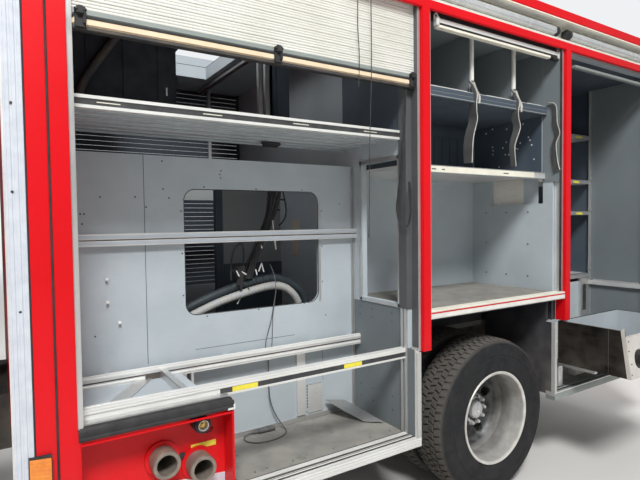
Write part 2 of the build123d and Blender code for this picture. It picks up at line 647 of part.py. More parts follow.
# Cab floor with the engine tunnel, the wheel-arch covers and the tilt lugs
TUNNEL_X = (1900, 3500)
TUNNEL_HALF = 480
TUNNEL_HIGH = 1330
COVER_IN = 870
with BuildPart() as cab_floor:
    with BuildSketch(Plane.XY.offset(CAB_FLOOR)):
        with Locations(((CAB_FRONT + CAB_REAR) / 2, 0)):
            RectangleRounded(
                CAB_FRONT - CAB_REAR - 2 * CAB_WALL, 2 * (CAB_HALF - CAB_WALL), CAB_CORNER - CAB_WALL
            )
    extrude(amount=30)
    block((TUNNEL_X[0] - 20, TUNNEL_X[1] + 20), (-TUNNEL_HALF - 20, TUNNEL_HALF + 20), (CAB_FLOOR, TUNNEL_HIGH))
    block(TUNNEL_X, (-TUNNEL_HALF, TUNNEL_HALF), (CAB_FLOOR - 1, TUNNEL_HIGH - 20), Mode.SUBTRACT)
    for side in (1, -1):
        y = (side * COVER_IN, side * (CAB_HALF - CAB_WALL))
        with BuildSketch(Plane.XZ.offset(-max(y))):
            with Locations((AXLE_FRONT, TYRE_RADIUS)):
                Circle(ARCH_RADIUS + 43)
        extrude(amount=max(y) - min(y))
        with BuildSketch(Plane.XZ.offset(-max(y))):
            with Locations((AXLE_FRONT, TYRE_RADIUS)):
                Circle(ARCH_RADIUS + 28)
        extrude(amount=max(y) - min(y) - 15 if side > 0 else max(y) - min(y), mode=Mode.SUBTRACT)
    block((1000, 3900), (-SIDE, SIDE), (-300, CAB_FLOOR), Mode.SUBTRACT)
    for side in (1, -1):
        y = (side * 430, side * 465)
        block((3768, PIVOT_X), y, (PIVOT_Z, CAB_FLOOR))
        rod((PIVOT_X, y[0], PIVOT_Z), (PIVOT_X, y[1], PIVOT_Z), 38)
        rod((PIVOT_X, y[0], PIVOT_Z), (PIVOT_X, y[1], PIVOT_Z), 18.5, Mode.SUBTRACT)
save(cab_floor, "cab_floor")

# Cab glass
GLASS_OUT = 20
GLASS_IN = 26
with BuildPart() as cab_glass:
    for x, y, z in CAB_WINDOWS:
        block(x, y, z)
    cab_loft(GLASS_OUT, CAB_LOW, Mode.INTERSECT)
    cab_loft(GLASS_IN, CAB_LOW - 20, Mode.SUBTRACT)
save(cab_glass, "cab_glass")

# Front panel with its grille slots
with BuildPart() as front_panel:
    block((CAB_FRONT, CAB_FRONT + 30), (-1000, 1000), (820, 1560))
    for row in range(6):
        low = 1000 + row * 80
        block((CAB_FRONT + 12, CAB_FRONT + 31), (-760, 760), (low, low + 45), Mode.SUBTRACT)
save(front_panel, "front_panel")

# Seats: two in front, a bench behind
with BuildPart() as cab_seats:
    for side in (1, -1):
        block((2760, 3080), (side * 590, side * 850), (CAB_FLOOR + 30, 1230))
        block((2700, 3180), (side * 560, side * 1020), (1230, 1370))
        block((2610, 2720), (side * 560, side * 1020), (1370, 2010))
        block((2720, 2730), (side * 560, side * 1020), (1370, 1380))
    block((1200, 1620), (-1050, 1050), (CAB_FLOOR + 30, 1430))
    block((1130, 1240), (-1050, 1050), (1430, 2010))
save(cab_seats, "cab_seats")

# Dashboard with the steering wheel
WHEEL_CENTRE = (3330, 640, 1660)
with BuildPart() as dashboard:
    block((3520, CAB_FRONT - CAB_WALL), (-1010, 1010), (1420, 1690))
    rod(WHEEL_CENTRE, (3560, 640, 1480), 25)
    with Locations(Plane(origin=WHEEL_CENTRE, z_dir=(-0.79, 0, 0.61))):
        Torus(215, 15)
        Cylinder(50, 24)
        Box(430, 34, 12)
save(dashboard, "dashboard")

# Mirrors on their arms
with BuildPart() as mirrors:
    block((3700, 3770), (1255, 1440), (1870, 2430))
    for z in (1920, 2380):
        rod((3668, 1090, z), (3735, 1300, z), 14)
    cab_loft(0, CAB_LOW, Mode.SUBTRACT)
    mirror(about=Plane.XZ)
save(mirrors, "mirrors")

# Blue light bar
with BuildPart() as beacons:
    block((3230, 3430), (-760, 760), (CAB_SECTIONS[-1][0], 2985))
    fillet(beacons.edges().filter_by(Axis.Z), 60)
save(beacons, "beacons")

# Doors and their glass
for side_name, side in SIDES:
    for door_name, rear, front, window_rear, window_front in DOORS:
        outside = (side * 900, side * SIDE)
        with BuildPart() as door:
            cab_loft(0, CAB_LOW)
            cab_loft(CAB_WALL, CAB_LOW - 20, Mode.SUBTRACT)
            block((rear, front), outside, (DOOR_LOW, DOOR_HIGH), Mode.INTERSECT)
            block((window_rear, window_front), outside, (WINDOW_LOW, WINDOW_HIGH), Mode.SUBTRACT)
        save(door, f"door_{door_name}_{side_name}")
        with BuildPart() as glass:
            block((window_rear, window_front), outside, (WINDOW_LOW, WINDOW_HIGH))
            cab_loft(GLASS_OUT, CAB_LOW, Mode.INTERSECT)
            cab_loft(GLASS_IN, CAB_LOW - 20, Mode.SUBTRACT)
        save(glass, f"door_glass_{door_name}_{side_name}")

# Steering knuckles, tyres and wheels
TYRE_HALF_PROFILE = [
    # distance from the middle, radius
    (118, 284),
    (137.5, 400),
    (120, 487),
    (98, 505),
]
TYRE_PROFILE = [(-across, radius) for across, radius in TYRE_HALF_PROFILE]
TYRE_PROFILE += [(across, radius) for across, radius in reversed(TYRE_HALF_PROFILE)]
BARREL_PROFILE = [
    # distance from the middle, radius
    (-140, RIM_FLANGE),
    (-132, RIM_FLANGE),
    (-132, RIM_RADIUS),
    (132, RIM_RADIUS),
    (132, RIM_FLANGE),
    (140, RIM_FLANGE),
    (140, RIM_BORE),
    (-140, RIM_BORE),
]


def shifted(profile, middle):
    """A profile moved across the truck to its wheel."""
    return [(middle + across, radius) for across, radius in profile]


def hand_holes(axle_x, y, radius, count, size):
    """Round holes through a wheel's disc."""
    for hole in range(count):
        angle = radians(360 * hole / count + 18)
        x = axle_x + radius * cos(angle)
        z = TYRE_RADIUS + radius * sin(angle)
        rod((x, min(y) - 1, z), (x, max(y) + 1, z), size, Mode.SUBTRACT)


for side_name, side in SIDES:
    with BuildPart() as knuckle:
        for z in ((596, 626), (384, 414)):
            block((AXLE_FRONT - 48, AXLE_FRONT + 48), (side * 920, side * 1032), z)
        block((AXLE_FRONT - 48, AXLE_FRONT + 48), (side * 1012, side * 1032), (384, 626))
        rod((AXLE_FRONT, side * 1030, TYRE_RADIUS), (AXLE_FRONT, side * 1062, TYRE_RADIUS), DRUM)
        rod((AXLE_FRONT, side * 1060, TYRE_RADIUS), (AXLE_FRONT, side * 1130, TYRE_RADIUS), 42)
    save(knuckle, f"knuckle_{side_name}")

    with BuildPart() as tyre:
        ring_about_axle(shifted(TYRE_PROFILE, side * TRACK_OUTER), AXLE_FRONT)
    save(tyre, f"tyre_front_{side_name}")

    with BuildPart() as rim:
        ring_about_axle(shifted(BARREL_PROFILE, side * TRACK_OUTER), AXLE_FRONT)
        disc = (side * 1140, side * 1156)
        rod((AXLE_FRONT, disc[0], TYRE_RADIUS), (AXLE_FRONT, disc[1], TYRE_RADIUS), RIM_BORE + 1)
        rod((AXLE_FRONT, disc[1], TYRE_RADIUS), (AXLE_FRONT, side * 1228, TYRE_RADIUS), 105)
        hand_holes(AXLE_FRONT, disc, 205, 10, 26)
    save(rim, f"rim_front_{side_name}")

    with BuildPart() as twin_tyres:
        ring_about_axle(shifted(TYRE_PROFILE, side * TRACK_OUTER), AXLE_REAR)
        ring_about_axle(shifted(TYRE_PROFILE, side * TRACK_INNER), AXLE_REAR)
    save(twin_tyres, f"tyres_rear_{side_name}")

    with BuildPart() as twin_rims:
        ring_about_axle(shifted(BARREL_PROFILE, side * TRACK_OUTER), AXLE_REAR)
        ring_about_axle(shifted(BARREL_PROFILE, side * TRACK_INNER), AXLE_REAR)
        disc = (side * 906, side * 950)
        rod((AXLE_REAR, disc[0], TYRE_RADIUS), (AXLE_REAR, disc[1], TYRE_RADIUS), RIM_BORE + 1)
        hand_holes(AXLE_REAR, disc, 215, 5, 30)
        rod((AXLE_REAR, disc[1], TYRE_RADIUS), (AXLE_REAR, side * 1040, TYRE_RADIUS), 118)
        rod((AXLE_REAR, side * 1040, TYRE_RADIUS), (AXLE_REAR, side * 1088, TYRE_RADIUS), 72)
    save(twin_rims, f"rims_rear_{side_name}")

# Drawer of the third locker, pulled out, and the middle members of its slides
DRAWER_X = (-3250, -2450)
DRAWER_Y = (1192, 1700)
DRAWER_Z = (745, 1050)
BOARD = 15
with BuildPart() as drawer:
    block(DRAWER_X, DRAWER_Y, DRAWER_Z)
    inside_x = (DRAWER_X[0] + BOARD, DRAWER_X[1] - BOARD)
    inside_y = (DRAWER_Y[0] + BOARD, DRAWER_Y[1] - BOARD)
    block(inside_x, inside_y, (DRAWER_Z[0] + BOARD, DRAWER_Z[1] + 1), Mode.SUBTRACT)
    with BuildSketch(Plane.XZ.offset(-DRAWER_Y[1] - 1)):
        with Locations(((DRAWER_X[0] + DRAWER_X[1]) / 2, 960)):
            SlotOverall(150, 50)
    extrude(amount=BOARD + 2, mode=Mode.SUBTRACT)
save(drawer, "drawer")

with BuildPart() as drawer_slides:
    for x in SLIDE_X:
        block(x, (935, 1440), (712, 740))
    block((SLIDE_X[0][1], SLIDE_X[1][0]), (935, 955), (720, 732))
save(drawer_slides, "drawer_slides")

# Step flaps under the right-hand shutters, folded up
FLAP_LOW = FLOOR_LOW + 8
FLAPS = [
    # name, rear end, front end, top
    ("front", ARCH1 + 40, NICHE[0] - 8, 1040),
    ("rear", OPEN3[1] + 8, LOW3_FRONT - 8, 1050),
]
for name, rear, front, top in FLAPS:
    with BuildPart() as flap:
        block((rear, front), (-SIDE, 15 - SIDE), (FLAP_LOW, top))
    save(flap, f"step_flap_{name}")
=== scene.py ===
# Looks of the pumper fire truck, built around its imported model. Metres, +X forward, +Y left, +Z up.
from math import cos, pi, radians, sin

import bmesh
import bpy
from mathutils import Matrix, Vector


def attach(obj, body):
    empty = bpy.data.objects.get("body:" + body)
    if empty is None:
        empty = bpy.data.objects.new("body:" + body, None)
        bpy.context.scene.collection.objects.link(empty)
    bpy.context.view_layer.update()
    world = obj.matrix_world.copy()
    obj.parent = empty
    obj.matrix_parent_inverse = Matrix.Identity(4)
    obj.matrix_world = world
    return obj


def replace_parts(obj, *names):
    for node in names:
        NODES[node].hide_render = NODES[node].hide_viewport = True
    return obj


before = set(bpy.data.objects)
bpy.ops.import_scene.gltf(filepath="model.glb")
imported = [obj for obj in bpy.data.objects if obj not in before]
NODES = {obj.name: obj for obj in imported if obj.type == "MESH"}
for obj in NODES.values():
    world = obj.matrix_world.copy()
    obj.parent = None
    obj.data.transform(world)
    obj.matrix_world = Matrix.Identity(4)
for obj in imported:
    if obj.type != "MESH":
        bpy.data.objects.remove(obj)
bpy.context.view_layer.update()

# Camera: where the photographer stood beside the truck
FOCAL_PIXELS = 503.28
PHOTO_WIDE = 640
SENSOR = 36.0
STAND = Vector((0.943, 3.32, 1.787))
YAW, PITCH, ROLL = radians(32.555), radians(2.079), radians(-0.7145)

ahead = Vector((-sin(YAW) * cos(PITCH), -cos(YAW) * cos(PITCH), -sin(PITCH)))
level = Vector((-cos(YAW), sin(YAW), 0))
upright = level.cross(ahead)
right = level * cos(ROLL) + upright * sin(ROLL)
up = upright * cos(ROLL) - level * sin(ROLL)
camera_data = bpy.data.cameras.new("photo_camera")
camera_data.sensor_width = SENSOR
camera_data.lens = FOCAL_PIXELS * SENSOR / PHOTO_WIDE
camera_data.clip_start = 0.02
camera_data.clip_end = 200
camera = bpy.data.objects.new("photo_camera", camera_data)
camera.matrix_world = Matrix.Translation(STAND) @ Matrix((right, up, -ahead)).transposed().to_4x4()
bpy.context.collection.objects.link(camera)
bpy.context.scene.camera = camera
bpy.context.scene.view_settings.view_transform = "Standard"


# Shader building
def put(tree, kind, sockets=None, **settings):
    """Adds a node, with its settings and what goes into its sockets."""
    made = tree.nodes.new(kind)
    for name, value in settings.items():
        setattr(made, name, value)
    for name, value in (sockets or {}).items():
        if isinstance(value, bpy.types.NodeSocket):
            tree.links.new(value, made.inputs[name])
        else:
            made.inputs[name].default_value = value
    return made


def maths(tree, operation, first, second=0.0, third=0.0):
    return put(tree, "ShaderNodeMath", {0: first, 1: second, 2: third}, operation=operation).outputs[0]


def vectors(tree, operation, first, second=(0, 0, 0)):
    return put(tree, "ShaderNodeVectorMath", {0: first, 1: second}, operation=operation).outputs[0]


def coordinates(tree):
    """The three object coordinates of a point; Z is its height above the ground."""
    coords = put(tree, "ShaderNodeTexCoord").outputs["Object"]
    return put(tree, "ShaderNodeSeparateXYZ", {0: coords}).outputs


def place_on_object(tree, scale=(1, 1, 1)):
    """Object coordinates, stretched for a pattern."""
    coords = put(tree, "ShaderNodeTexCoord").outputs["Object"]
    return put(tree, "ShaderNodeMapping", {"Vector": coords, "Scale": scale}).outputs["Vector"]


def cloud(tree, size, stretch=(1, 1, 1), detail=3.0, low=0.35, high=0.65):
    """Noise spread between 0 and 1, with blotches of about the given size in metres."""
    spot = place_on_object(tree, stretch)
    noise = put(tree, "ShaderNodeTexNoise", {"Vector": spot, "Scale": 1 / size, "Detail": detail})
    limits = {"Value": noise.outputs["Fac"], "From Min": low, "From Max": high}
    return put(tree, "ShaderNodeMapRange", limits).outputs["Result"]


def blend(tree, amount, first, second):
    """Mixes two colours."""
    first, second = [(*c, 1.0) if isinstance(c, tuple) else c for c in (first, second)]
    made = put(tree, "ShaderNodeMix", data_type="RGBA")
    for index, value in ((0, amount), (6, first), (7, second)):
        if isinstance(value, bpy.types.NodeSocket):
            tree.links.new(value, made.inputs[index])
        else:
            made.inputs[index].default_value = value
    return made.outputs[2]


FINISHES = {}
ROOT_3 = 1.732
DUST_FULL = 0.3
SCUFF_SIZE, SCUFF_STRETCH = 0.02, (0.25, 0.25, 3.0)
COAT_ROUGH = 0.08
GRAIN_DEPTH = 0.002


def finish(
    name, colour, rough, metal=0.0, second=None, patch=0.25, grain=0.004, stretch=(1, 1, 1), bump=0.05,
    dust=0.0, dust_top=1.2, scuffs=0.0, coat=0.0, dust_colour=(0.34, 0.3, 0.25),
):
    """A surface with blotches of a second tone, a fine grain, scuffs, and dust low down, kept by its name."""
    material = bpy.data.materials.new(name)
    material.use_nodes = True
    tree = material.node_tree
    shader = tree.nodes["Principled BSDF"]
    shader.inputs["Metallic"].default_value = metal
    shader.inputs["Coat Weight"].default_value = coat
    shader.inputs["Coat Roughness"].default_value = COAT_ROUGH
    second = second or tuple(0.82 * part for part in colour)
    tone = blend(tree, cloud(tree, patch, detail=5.0), colour, second)
    if scuffs:
        marks = cloud(tree, SCUFF_SIZE, SCUFF_STRETCH, 6.0, 0.62, 0.7)
        tone = blend(
            tree, maths(tree, "MULTIPLY", marks, scuffs), tone, tuple(0.55 * part for part in colour),
        )
    if dust:
        limits = {"Value": coordinates(tree)["Z"], "From Min": dust_top, "From Max": DUST_FULL}
        fall = put(tree, "ShaderNodeMapRange", limits)
        film = maths(
            tree, "MULTIPLY", fall.outputs["Result"], cloud(tree, 0.12, detail=6.0, low=0.25, high=0.7),
        )
        tone = blend(tree, maths(tree, "MULTIPLY", film, dust), tone, dust_colour)
    tree.links.new(tone, shader.inputs["Base Color"])
    fine = cloud(tree, grain, stretch, 4.0, 0.2, 0.8)
    worn = cloud(tree, patch * 0.6, detail=4.0)
    even = maths(tree, "MULTIPLY_ADD", fine, 0.12, rough - 0.06)
    tree.links.new(maths(tree, "MULTIPLY_ADD", worn, 0.1, even), shader.inputs["Roughness"])
    relief = put(tree, "ShaderNodeBump", {"Strength": bump, "Distance": GRAIN_DEPTH, "Height": fine})
    tree.links.new(relief.outputs["Normal"], shader.inputs["Normal"])
    FINISHES[name] = material
    return material


def shader_of(material):
    return material.node_tree, material.node_tree.nodes["Principled BSDF"]


def tone_over(material, amount, colour):
    """Blends another tone over the colour that a finish has."""
    tree, shader = shader_of(material)
    socket = shader.inputs["Base Color"]
    tree.links.new(blend(tree, amount, socket.links[0].from_socket, colour), socket)
    return material


def honeycomb_tape(name, cell=0.0042):
    """White reflecting tape with a honeycomb of fine grey walls."""
    material = finish(name, (0.6, 0.63, 0.68), 0.35, second=(0.52, 0.55, 0.61), patch=0.05, coat=0.3)
    tree = material.node_tree
    place = coordinates(tree)
    run = maths(tree, "ADD", place["X"], place["Y"])
    flat = put(tree, "ShaderNodeCombineXYZ", {0: run, 1: place["Z"]}).outputs[0]
    pitch = (cell, cell * ROOT_3, 1.0)
    centre = (cell / 2, cell * ROOT_3 / 2, 0)
    distances = []
    for offset in ((0, 0, 0), centre):
        spot = vectors(tree, "MODULO", vectors(tree, "ADD", flat, offset), pitch)
        spot = vectors(tree, "ADD", spot, (100 * pitch[0], 100 * pitch[1], 0))
        apart = vectors(tree, "SUBTRACT", vectors(tree, "MODULO", spot, pitch), centre)
        distances.append(
            put(tree, "ShaderNodeVectorMath", {0: apart}, operation="LENGTH").outputs["Value"],
        )
    nearest = maths(tree, "MINIMUM", distances[0], distances[1])
    wall = put(
        tree, "ShaderNodeMapRange", {"Value": nearest, "From Min": cell * 0.44, "From Max": cell * 0.52},
    )
    return tone_over(material, maths(tree, "MULTIPLY", wall.outputs["Result"], 0.45), (0.42, 0.45, 0.5))


def webbing(name, colour, rib=0.0012):
    """Woven strap with fine cross ribs."""
    material = finish(name, colour, 0.85, second=tuple(0.7 * part for part in colour), patch=0.08)
    tree, shader = shader_of(material)
    shader.inputs["Sheen Weight"].default_value = 0.3
    spot = place_on_object(tree)
    weave = put(
        tree, "ShaderNodeTexWave", {"Vector": spot, "Scale": 0.3 / rib, "Distortion": 1.5},
        bands_direction="Z",
    )
    relief = put(
        tree, "ShaderNodeBump", {"Strength": 0.6, "Distance": 0.0006, "Height": weave.outputs["Fac"]},
    )
    tree.links.new(relief.outputs["Normal"], shader.inputs["Normal"])
    return material


def clear(name, colour, alpha, rough=0.04, stained=0.1):
    """Glass or clear plastic with a little dirt."""
    material = finish(name, colour, rough + 0.06, patch=0.3, bump=0.01, coat=0.6)
    tree, shader = shader_of(material)
    shader.inputs["Alpha"].default_value = alpha
    dirt = cloud(tree, 0.15, detail=6.0, low=0.4, high=0.8)
    tree.links.new(maths(tree, "MULTIPLY_ADD", dirt, stained, alpha), shader.inputs["Alpha"])
    return material


def plywood_edges(name, face, edge):
    """Film-faced board whose bare plies show as stripes."""
    material = finish(name, face, 0.5, second=tuple(0.75 * part for part in face), patch=0.1, dust=0.4)
    tree = material.node_tree
    wave = {"Vector": place_on_object(tree), "Scale": 60.0, "Distortion": 0.5}
    plies = put(tree, "ShaderNodeTexWave", wave, bands_direction="Y")
    streak = cloud(tree, 0.01, (0.1, 0.1, 1.0), 6.0, 0.45, 0.6)
    amount = maths(tree, "MULTIPLY", plies.outputs["Fac"], maths(tree, "MULTIPLY", streak, 0.35))
    return tone_over(material, amount, edge)


def axle_distance(tree):
    """Distance from the line of the nearer axle."""
    place = coordinates(tree)
    near = [
        maths(tree, "ABSOLUTE", maths(tree, "SUBTRACT", place["X"], axle))
        for axle in (FRONT_AXLE, REAR_AXLE)
    ]
    along = maths(tree, "MINIMUM", near[0], near[1])
    rise = maths(tree, "SUBTRACT", place["Z"], AXLE_Z)
    return maths(
        tree, "SQRT", maths(tree, "MULTIPLY_ADD", along, along, maths(tree, "MULTIPLY", rise, rise)),
    )


def ring_tone(material, inner, outer, amount, colour):
    """Blends another tone into a finish between two distances from the axle."""
    tree = material.node_tree
    reach = put(
        tree, "ShaderNodeMapRange", {"Value": axle_distance(tree), "From Min": inner, "From Max": outer},
    )
    streak = maths(tree, "MULTIPLY_ADD", cloud(tree, 0.05, detail=5.0), 0.12, 0.88)
    share = maths(tree, "MULTIPLY", maths(tree, "MULTIPLY", reach.outputs["Result"], streak), amount)
    return tone_over(material, share, colour)


def paint_shade_inside(material, line, colour):
    """Paints shade on the inner faces of the side shutters, as a near-black tone."""
    tree = material.node_tree
    reach = maths(tree, "ABSOLUTE", coordinates(tree)["Y"])
    beyond = maths(tree, "GREATER_THAN", reach, 1.0)
    inside = maths(tree, "MULTIPLY", maths(tree, "LESS_THAN", reach, line), beyond)
    return tone_over(material, inside, colour)


def dulled(material, level):
    """Lowers how strongly a finish mirrors the light."""
    shader_of(material)[1].inputs["Specular IOR Level"].default_value = level
    return material


# Finishes
FRONT_AXLE, REAR_AXLE, AXLE_Z = 2.46, -1.74, 0.505
BRUSHED_X = (0.03, 1, 1)
BRUSHED_Z = (1, 1, 0.03)
RED = (0.66, 0.002, 0.008)
dulled(
    finish(
        "red_paint", RED, 0.4, second=(0.6, 0.001, 0.005), patch=0.6, grain=0.0015, bump=0.012, dust=0.08,
        coat=0.08,
    ),
    0.22,
)
finish(
    "locker_grey", (0.44, 0.49, 0.52), 0.5, second=(0.38, 0.43, 0.46), patch=0.35, grain=0.002, bump=0.03,
    scuffs=0.12, dust=0.2,
)
finish(
    "floor_board", (0.26, 0.25, 0.22), 0.8, second=(0.19, 0.185, 0.17), patch=0.12, grain=0.0025,
    bump=0.35, scuffs=0.5,
)
finish(
    "alloy_profile", (0.8, 0.8, 0.78), 0.34, 0.55, (0.7, 0.7, 0.69), 0.2, 0.003, BRUSHED_X, 0.06, 0.25,
    scuffs=0.3,
)
finish(
    "white_paint", (0.78, 0.77, 0.72), 0.4, second=(0.68, 0.67, 0.62), patch=0.15, dust=0.15, scuffs=0.4,
)
# The slats' inner faces get painted shade.
paint_shade_inside(
    finish(
        "shutter_slats", (0.78, 0.77, 0.72), 0.42, 0.15, (0.7, 0.69, 0.63), 0.3, 0.003, BRUSHED_X, 0.06,
        scuffs=0.35,
    ),
    1.1985, (0.028, 0.036, 0.046),
)
finish(
    "tube_glass", (0.72, 0.74, 0.74), 0.18, 0.5, (0.6, 0.62, 0.64), 0.2, 0.002, BRUSHED_X, 0.03, coat=0.8,
)
finish(
    "dark_liner", (0.012, 0.015, 0.024), 0.7, second=(0.03, 0.032, 0.04), patch=0.1, grain=0.003,
    bump=0.3, dust=0.5,
)
finish(
    "black_plastic", (0.022, 0.022, 0.024), 0.55, second=(0.04, 0.04, 0.042), patch=0.2, grain=0.0012,
    bump=0.3, dust=0.35,
)
finish(
    "chassis_grey", (0.045, 0.045, 0.048), 0.6, 0.2, (0.09, 0.075, 0.06), 0.08, 0.003, bump=0.25, dust=0.6,
)
finish("engine_cast", (0.18, 0.18, 0.18), 0.7, 0.3, (0.1, 0.085, 0.07), 0.07, 0.003, bump=0.5, dust=0.4)
finish("tank_alloy", (0.42, 0.43, 0.44), 0.4, 0.7, (0.34, 0.35, 0.35), 0.2, 0.003, BRUSHED_X, 0.1, 0.4)
finish("lamp_lens", (0.8, 0.26, 0.02), 0.2, second=(0.7, 0.2, 0.015), patch=0.03, bump=0.02, coat=0.8)
finish("pipe_metal", (0.33, 0.28, 0.23), 0.45, 0.6, (0.24, 0.21, 0.18), 0.03, 0.002, bump=0.2)
finish(
    "cable_rubber", (0.07, 0.07, 0.072), 0.6, second=(0.1, 0.1, 0.1), patch=0.03, grain=0.001, bump=0.2,
)
# The hanging straps' webbing is near-black: painted shade on their faces.
webbing("webbing", (0.032, 0.033, 0.034))
clear("cab_window", (0.05, 0.07, 0.075), 0.55)
webbing("seat_cloth", (0.05, 0.055, 0.065), 0.002)
clear("blue_lens", (0.01, 0.05, 0.55), 0.82)
ring_tone(
    dulled(
        finish(
            "tyre_rubber", (0.014, 0.015, 0.017), 0.8, second=(0.022, 0.023, 0.025), patch=0.05,
            grain=0.0015, bump=0.35, dust=0.04,
        ),
        0.2,
    ),
    0.476, 0.494, 0.9, (0.105, 0.095, 0.085),
)
# The rims darken from the barrel's inside into the dish: painted shade, with some grime.
ring_tone(
    finish(
        "wheel_silver", (0.74, 0.72, 0.68), 0.36, 0.35, (0.6, 0.58, 0.54), 0.06, 0.002, bump=0.12,
        dust=0.12,
    ),
    0.2865, 0.256, 1.0, (0.02, 0.024, 0.028),
)
finish("hub_silver", (0.62, 0.63, 0.63), 0.4, 0.35, (0.46, 0.46, 0.46), 0.03, 0.002, bump=0.12, dust=0.12)
dulled(plywood_edges("film_plywood", (0.003, 0.0025, 0.003), (0.05, 0.04, 0.03)), 0.12)
honeycomb_tape("honeycomb_tape")
finish(
    "rubber_black", (0.016, 0.016, 0.017), 0.65, second=(0.03, 0.03, 0.03), patch=0.05, grain=0.001,
    bump=0.15,
)
finish("anodised", (0.66, 0.66, 0.65), 0.3, 0.8, (0.58, 0.58, 0.57), 0.2, 0.0025, BRUSHED_X, 0.06, 0.15)
finish(
    "anodised_upright", (0.66, 0.66, 0.65), 0.3, 0.8, (0.58, 0.58, 0.57), 0.2, 0.0025, BRUSHED_Z, 0.06,
    0.15,
)
finish("cream_strip", (0.8, 0.77, 0.66), 0.45, second=(0.72, 0.69, 0.58), patch=0.12, scuffs=0.4)
finish(
    "recess_dark", (0.025, 0.027, 0.03), 0.6, second=(0.05, 0.05, 0.05), patch=0.06, grain=0.002, bump=0.1,
)
finish("zinc_screw", (0.4, 0.4, 0.4), 0.35, 0.9, (0.28, 0.27, 0.25), 0.01, 0.001, bump=0.1)
finish("dark_screw", (0.05, 0.05, 0.055), 0.45, 0.5, (0.09, 0.08, 0.07), 0.01, 0.001, bump=0.1)
finish("yellow_label", (0.82, 0.72, 0.06), 0.4, second=(0.72, 0.62, 0.05), patch=0.03, bump=0.02)
finish("pale_label", (0.74, 0.73, 0.6), 0.45, second=(0.66, 0.64, 0.52), patch=0.03, bump=0.02)
finish("brass", (0.62, 0.42, 0.12), 0.3, 0.9, (0.45, 0.3, 0.09), 0.01, 0.001, bump=0.1)
finish(
    "hose_dark", (0.03, 0.042, 0.048), 0.55, second=(0.022, 0.032, 0.038), patch=0.05, grain=0.002,
    bump=0.2,
)
finish("hose_grey", (0.4, 0.39, 0.35), 0.55, second=(0.36, 0.37, 0.38), patch=0.05, grain=0.002, bump=0.2)
clear("red_lens", (0.55, 0.01, 0.01), 0.9)
clear("clear_lens", (0.75, 0.78, 0.8), 0.45)
finish("white_peg", (0.8, 0.8, 0.78), 0.4, second=(0.72, 0.72, 0.7), patch=0.02)
webbing("pale_webbing", (0.58, 0.56, 0.5))
# A darker grey of the locker walls: painted shade.
finish(
    "locker_dim", (0.165, 0.19, 0.2), 0.55, second=(0.145, 0.168, 0.178), patch=0.5, grain=0.002,
    bump=0.02,
)
finish(
    "bright_rail", (0.76, 0.76, 0.73), 0.34, 0.25, (0.7, 0.7, 0.67), 0.2, 0.0025, BRUSHED_X, 0.05, 0.08,
)
# Blue-grey copy of the pale rail finish: painted shade.
finish("rail_blue", (0.52, 0.57, 0.62), 0.34, 0.3, (0.48, 0.53, 0.58), 0.2, 0.0025, BRUSHED_X, 0.05, 0.08)
finish("tape_white", (0.62, 0.74, 0.8), 0.5, second=(0.56, 0.68, 0.74), patch=0.4, grain=0.002, bump=0.02)
# A mid grey of the locker walls: painted shade.
finish(
    "locker_mid", (0.27, 0.29, 0.29), 0.55, second=(0.24, 0.26, 0.265), patch=0.5, grain=0.002, bump=0.02,
)
# Near-black copy of the upright profile: painted shade.
finish(
    "post_grey", (0.105, 0.11, 0.112), 0.45, 0.2, (0.085, 0.09, 0.094), 0.3, 0.0025, BRUSHED_Z, 0.06, 0.1,
)
# Grey copy of the pale rail finish: painted shade.
finish("bar_grey", (0.3, 0.33, 0.31), 0.4, 0.25, (0.26, 0.29, 0.28), 0.2, 0.0025, BRUSHED_X, 0.05, 0.1)
finish("bar_beige", (0.76, 0.62, 0.44), 0.5, second=(0.68, 0.55, 0.38), patch=0.15, scuffs=0.25)
# Dark blue-grey: painted shade deep in the lockers, also the dark wall seams.
finish(
    "locker_shade", (0.064, 0.084, 0.108), 0.55, second=(0.048, 0.066, 0.088), patch=0.3, grain=0.002,
    bump=0.03, scuffs=0.3,
)
finish(
    "plate_alloy", (0.7, 0.67, 0.62), 0.42, 0.25, (0.62, 0.59, 0.54), 0.15, 0.003, BRUSHED_X, 0.06,
    scuffs=0.5,
)
finish("mirror_glass", (0.75, 0.78, 0.8), 0.09, 1.0, (0.72, 0.75, 0.77), 0.3, bump=0.0)


# Mesh building
EASE_SHARE = 0.45
WELD = 0.00001


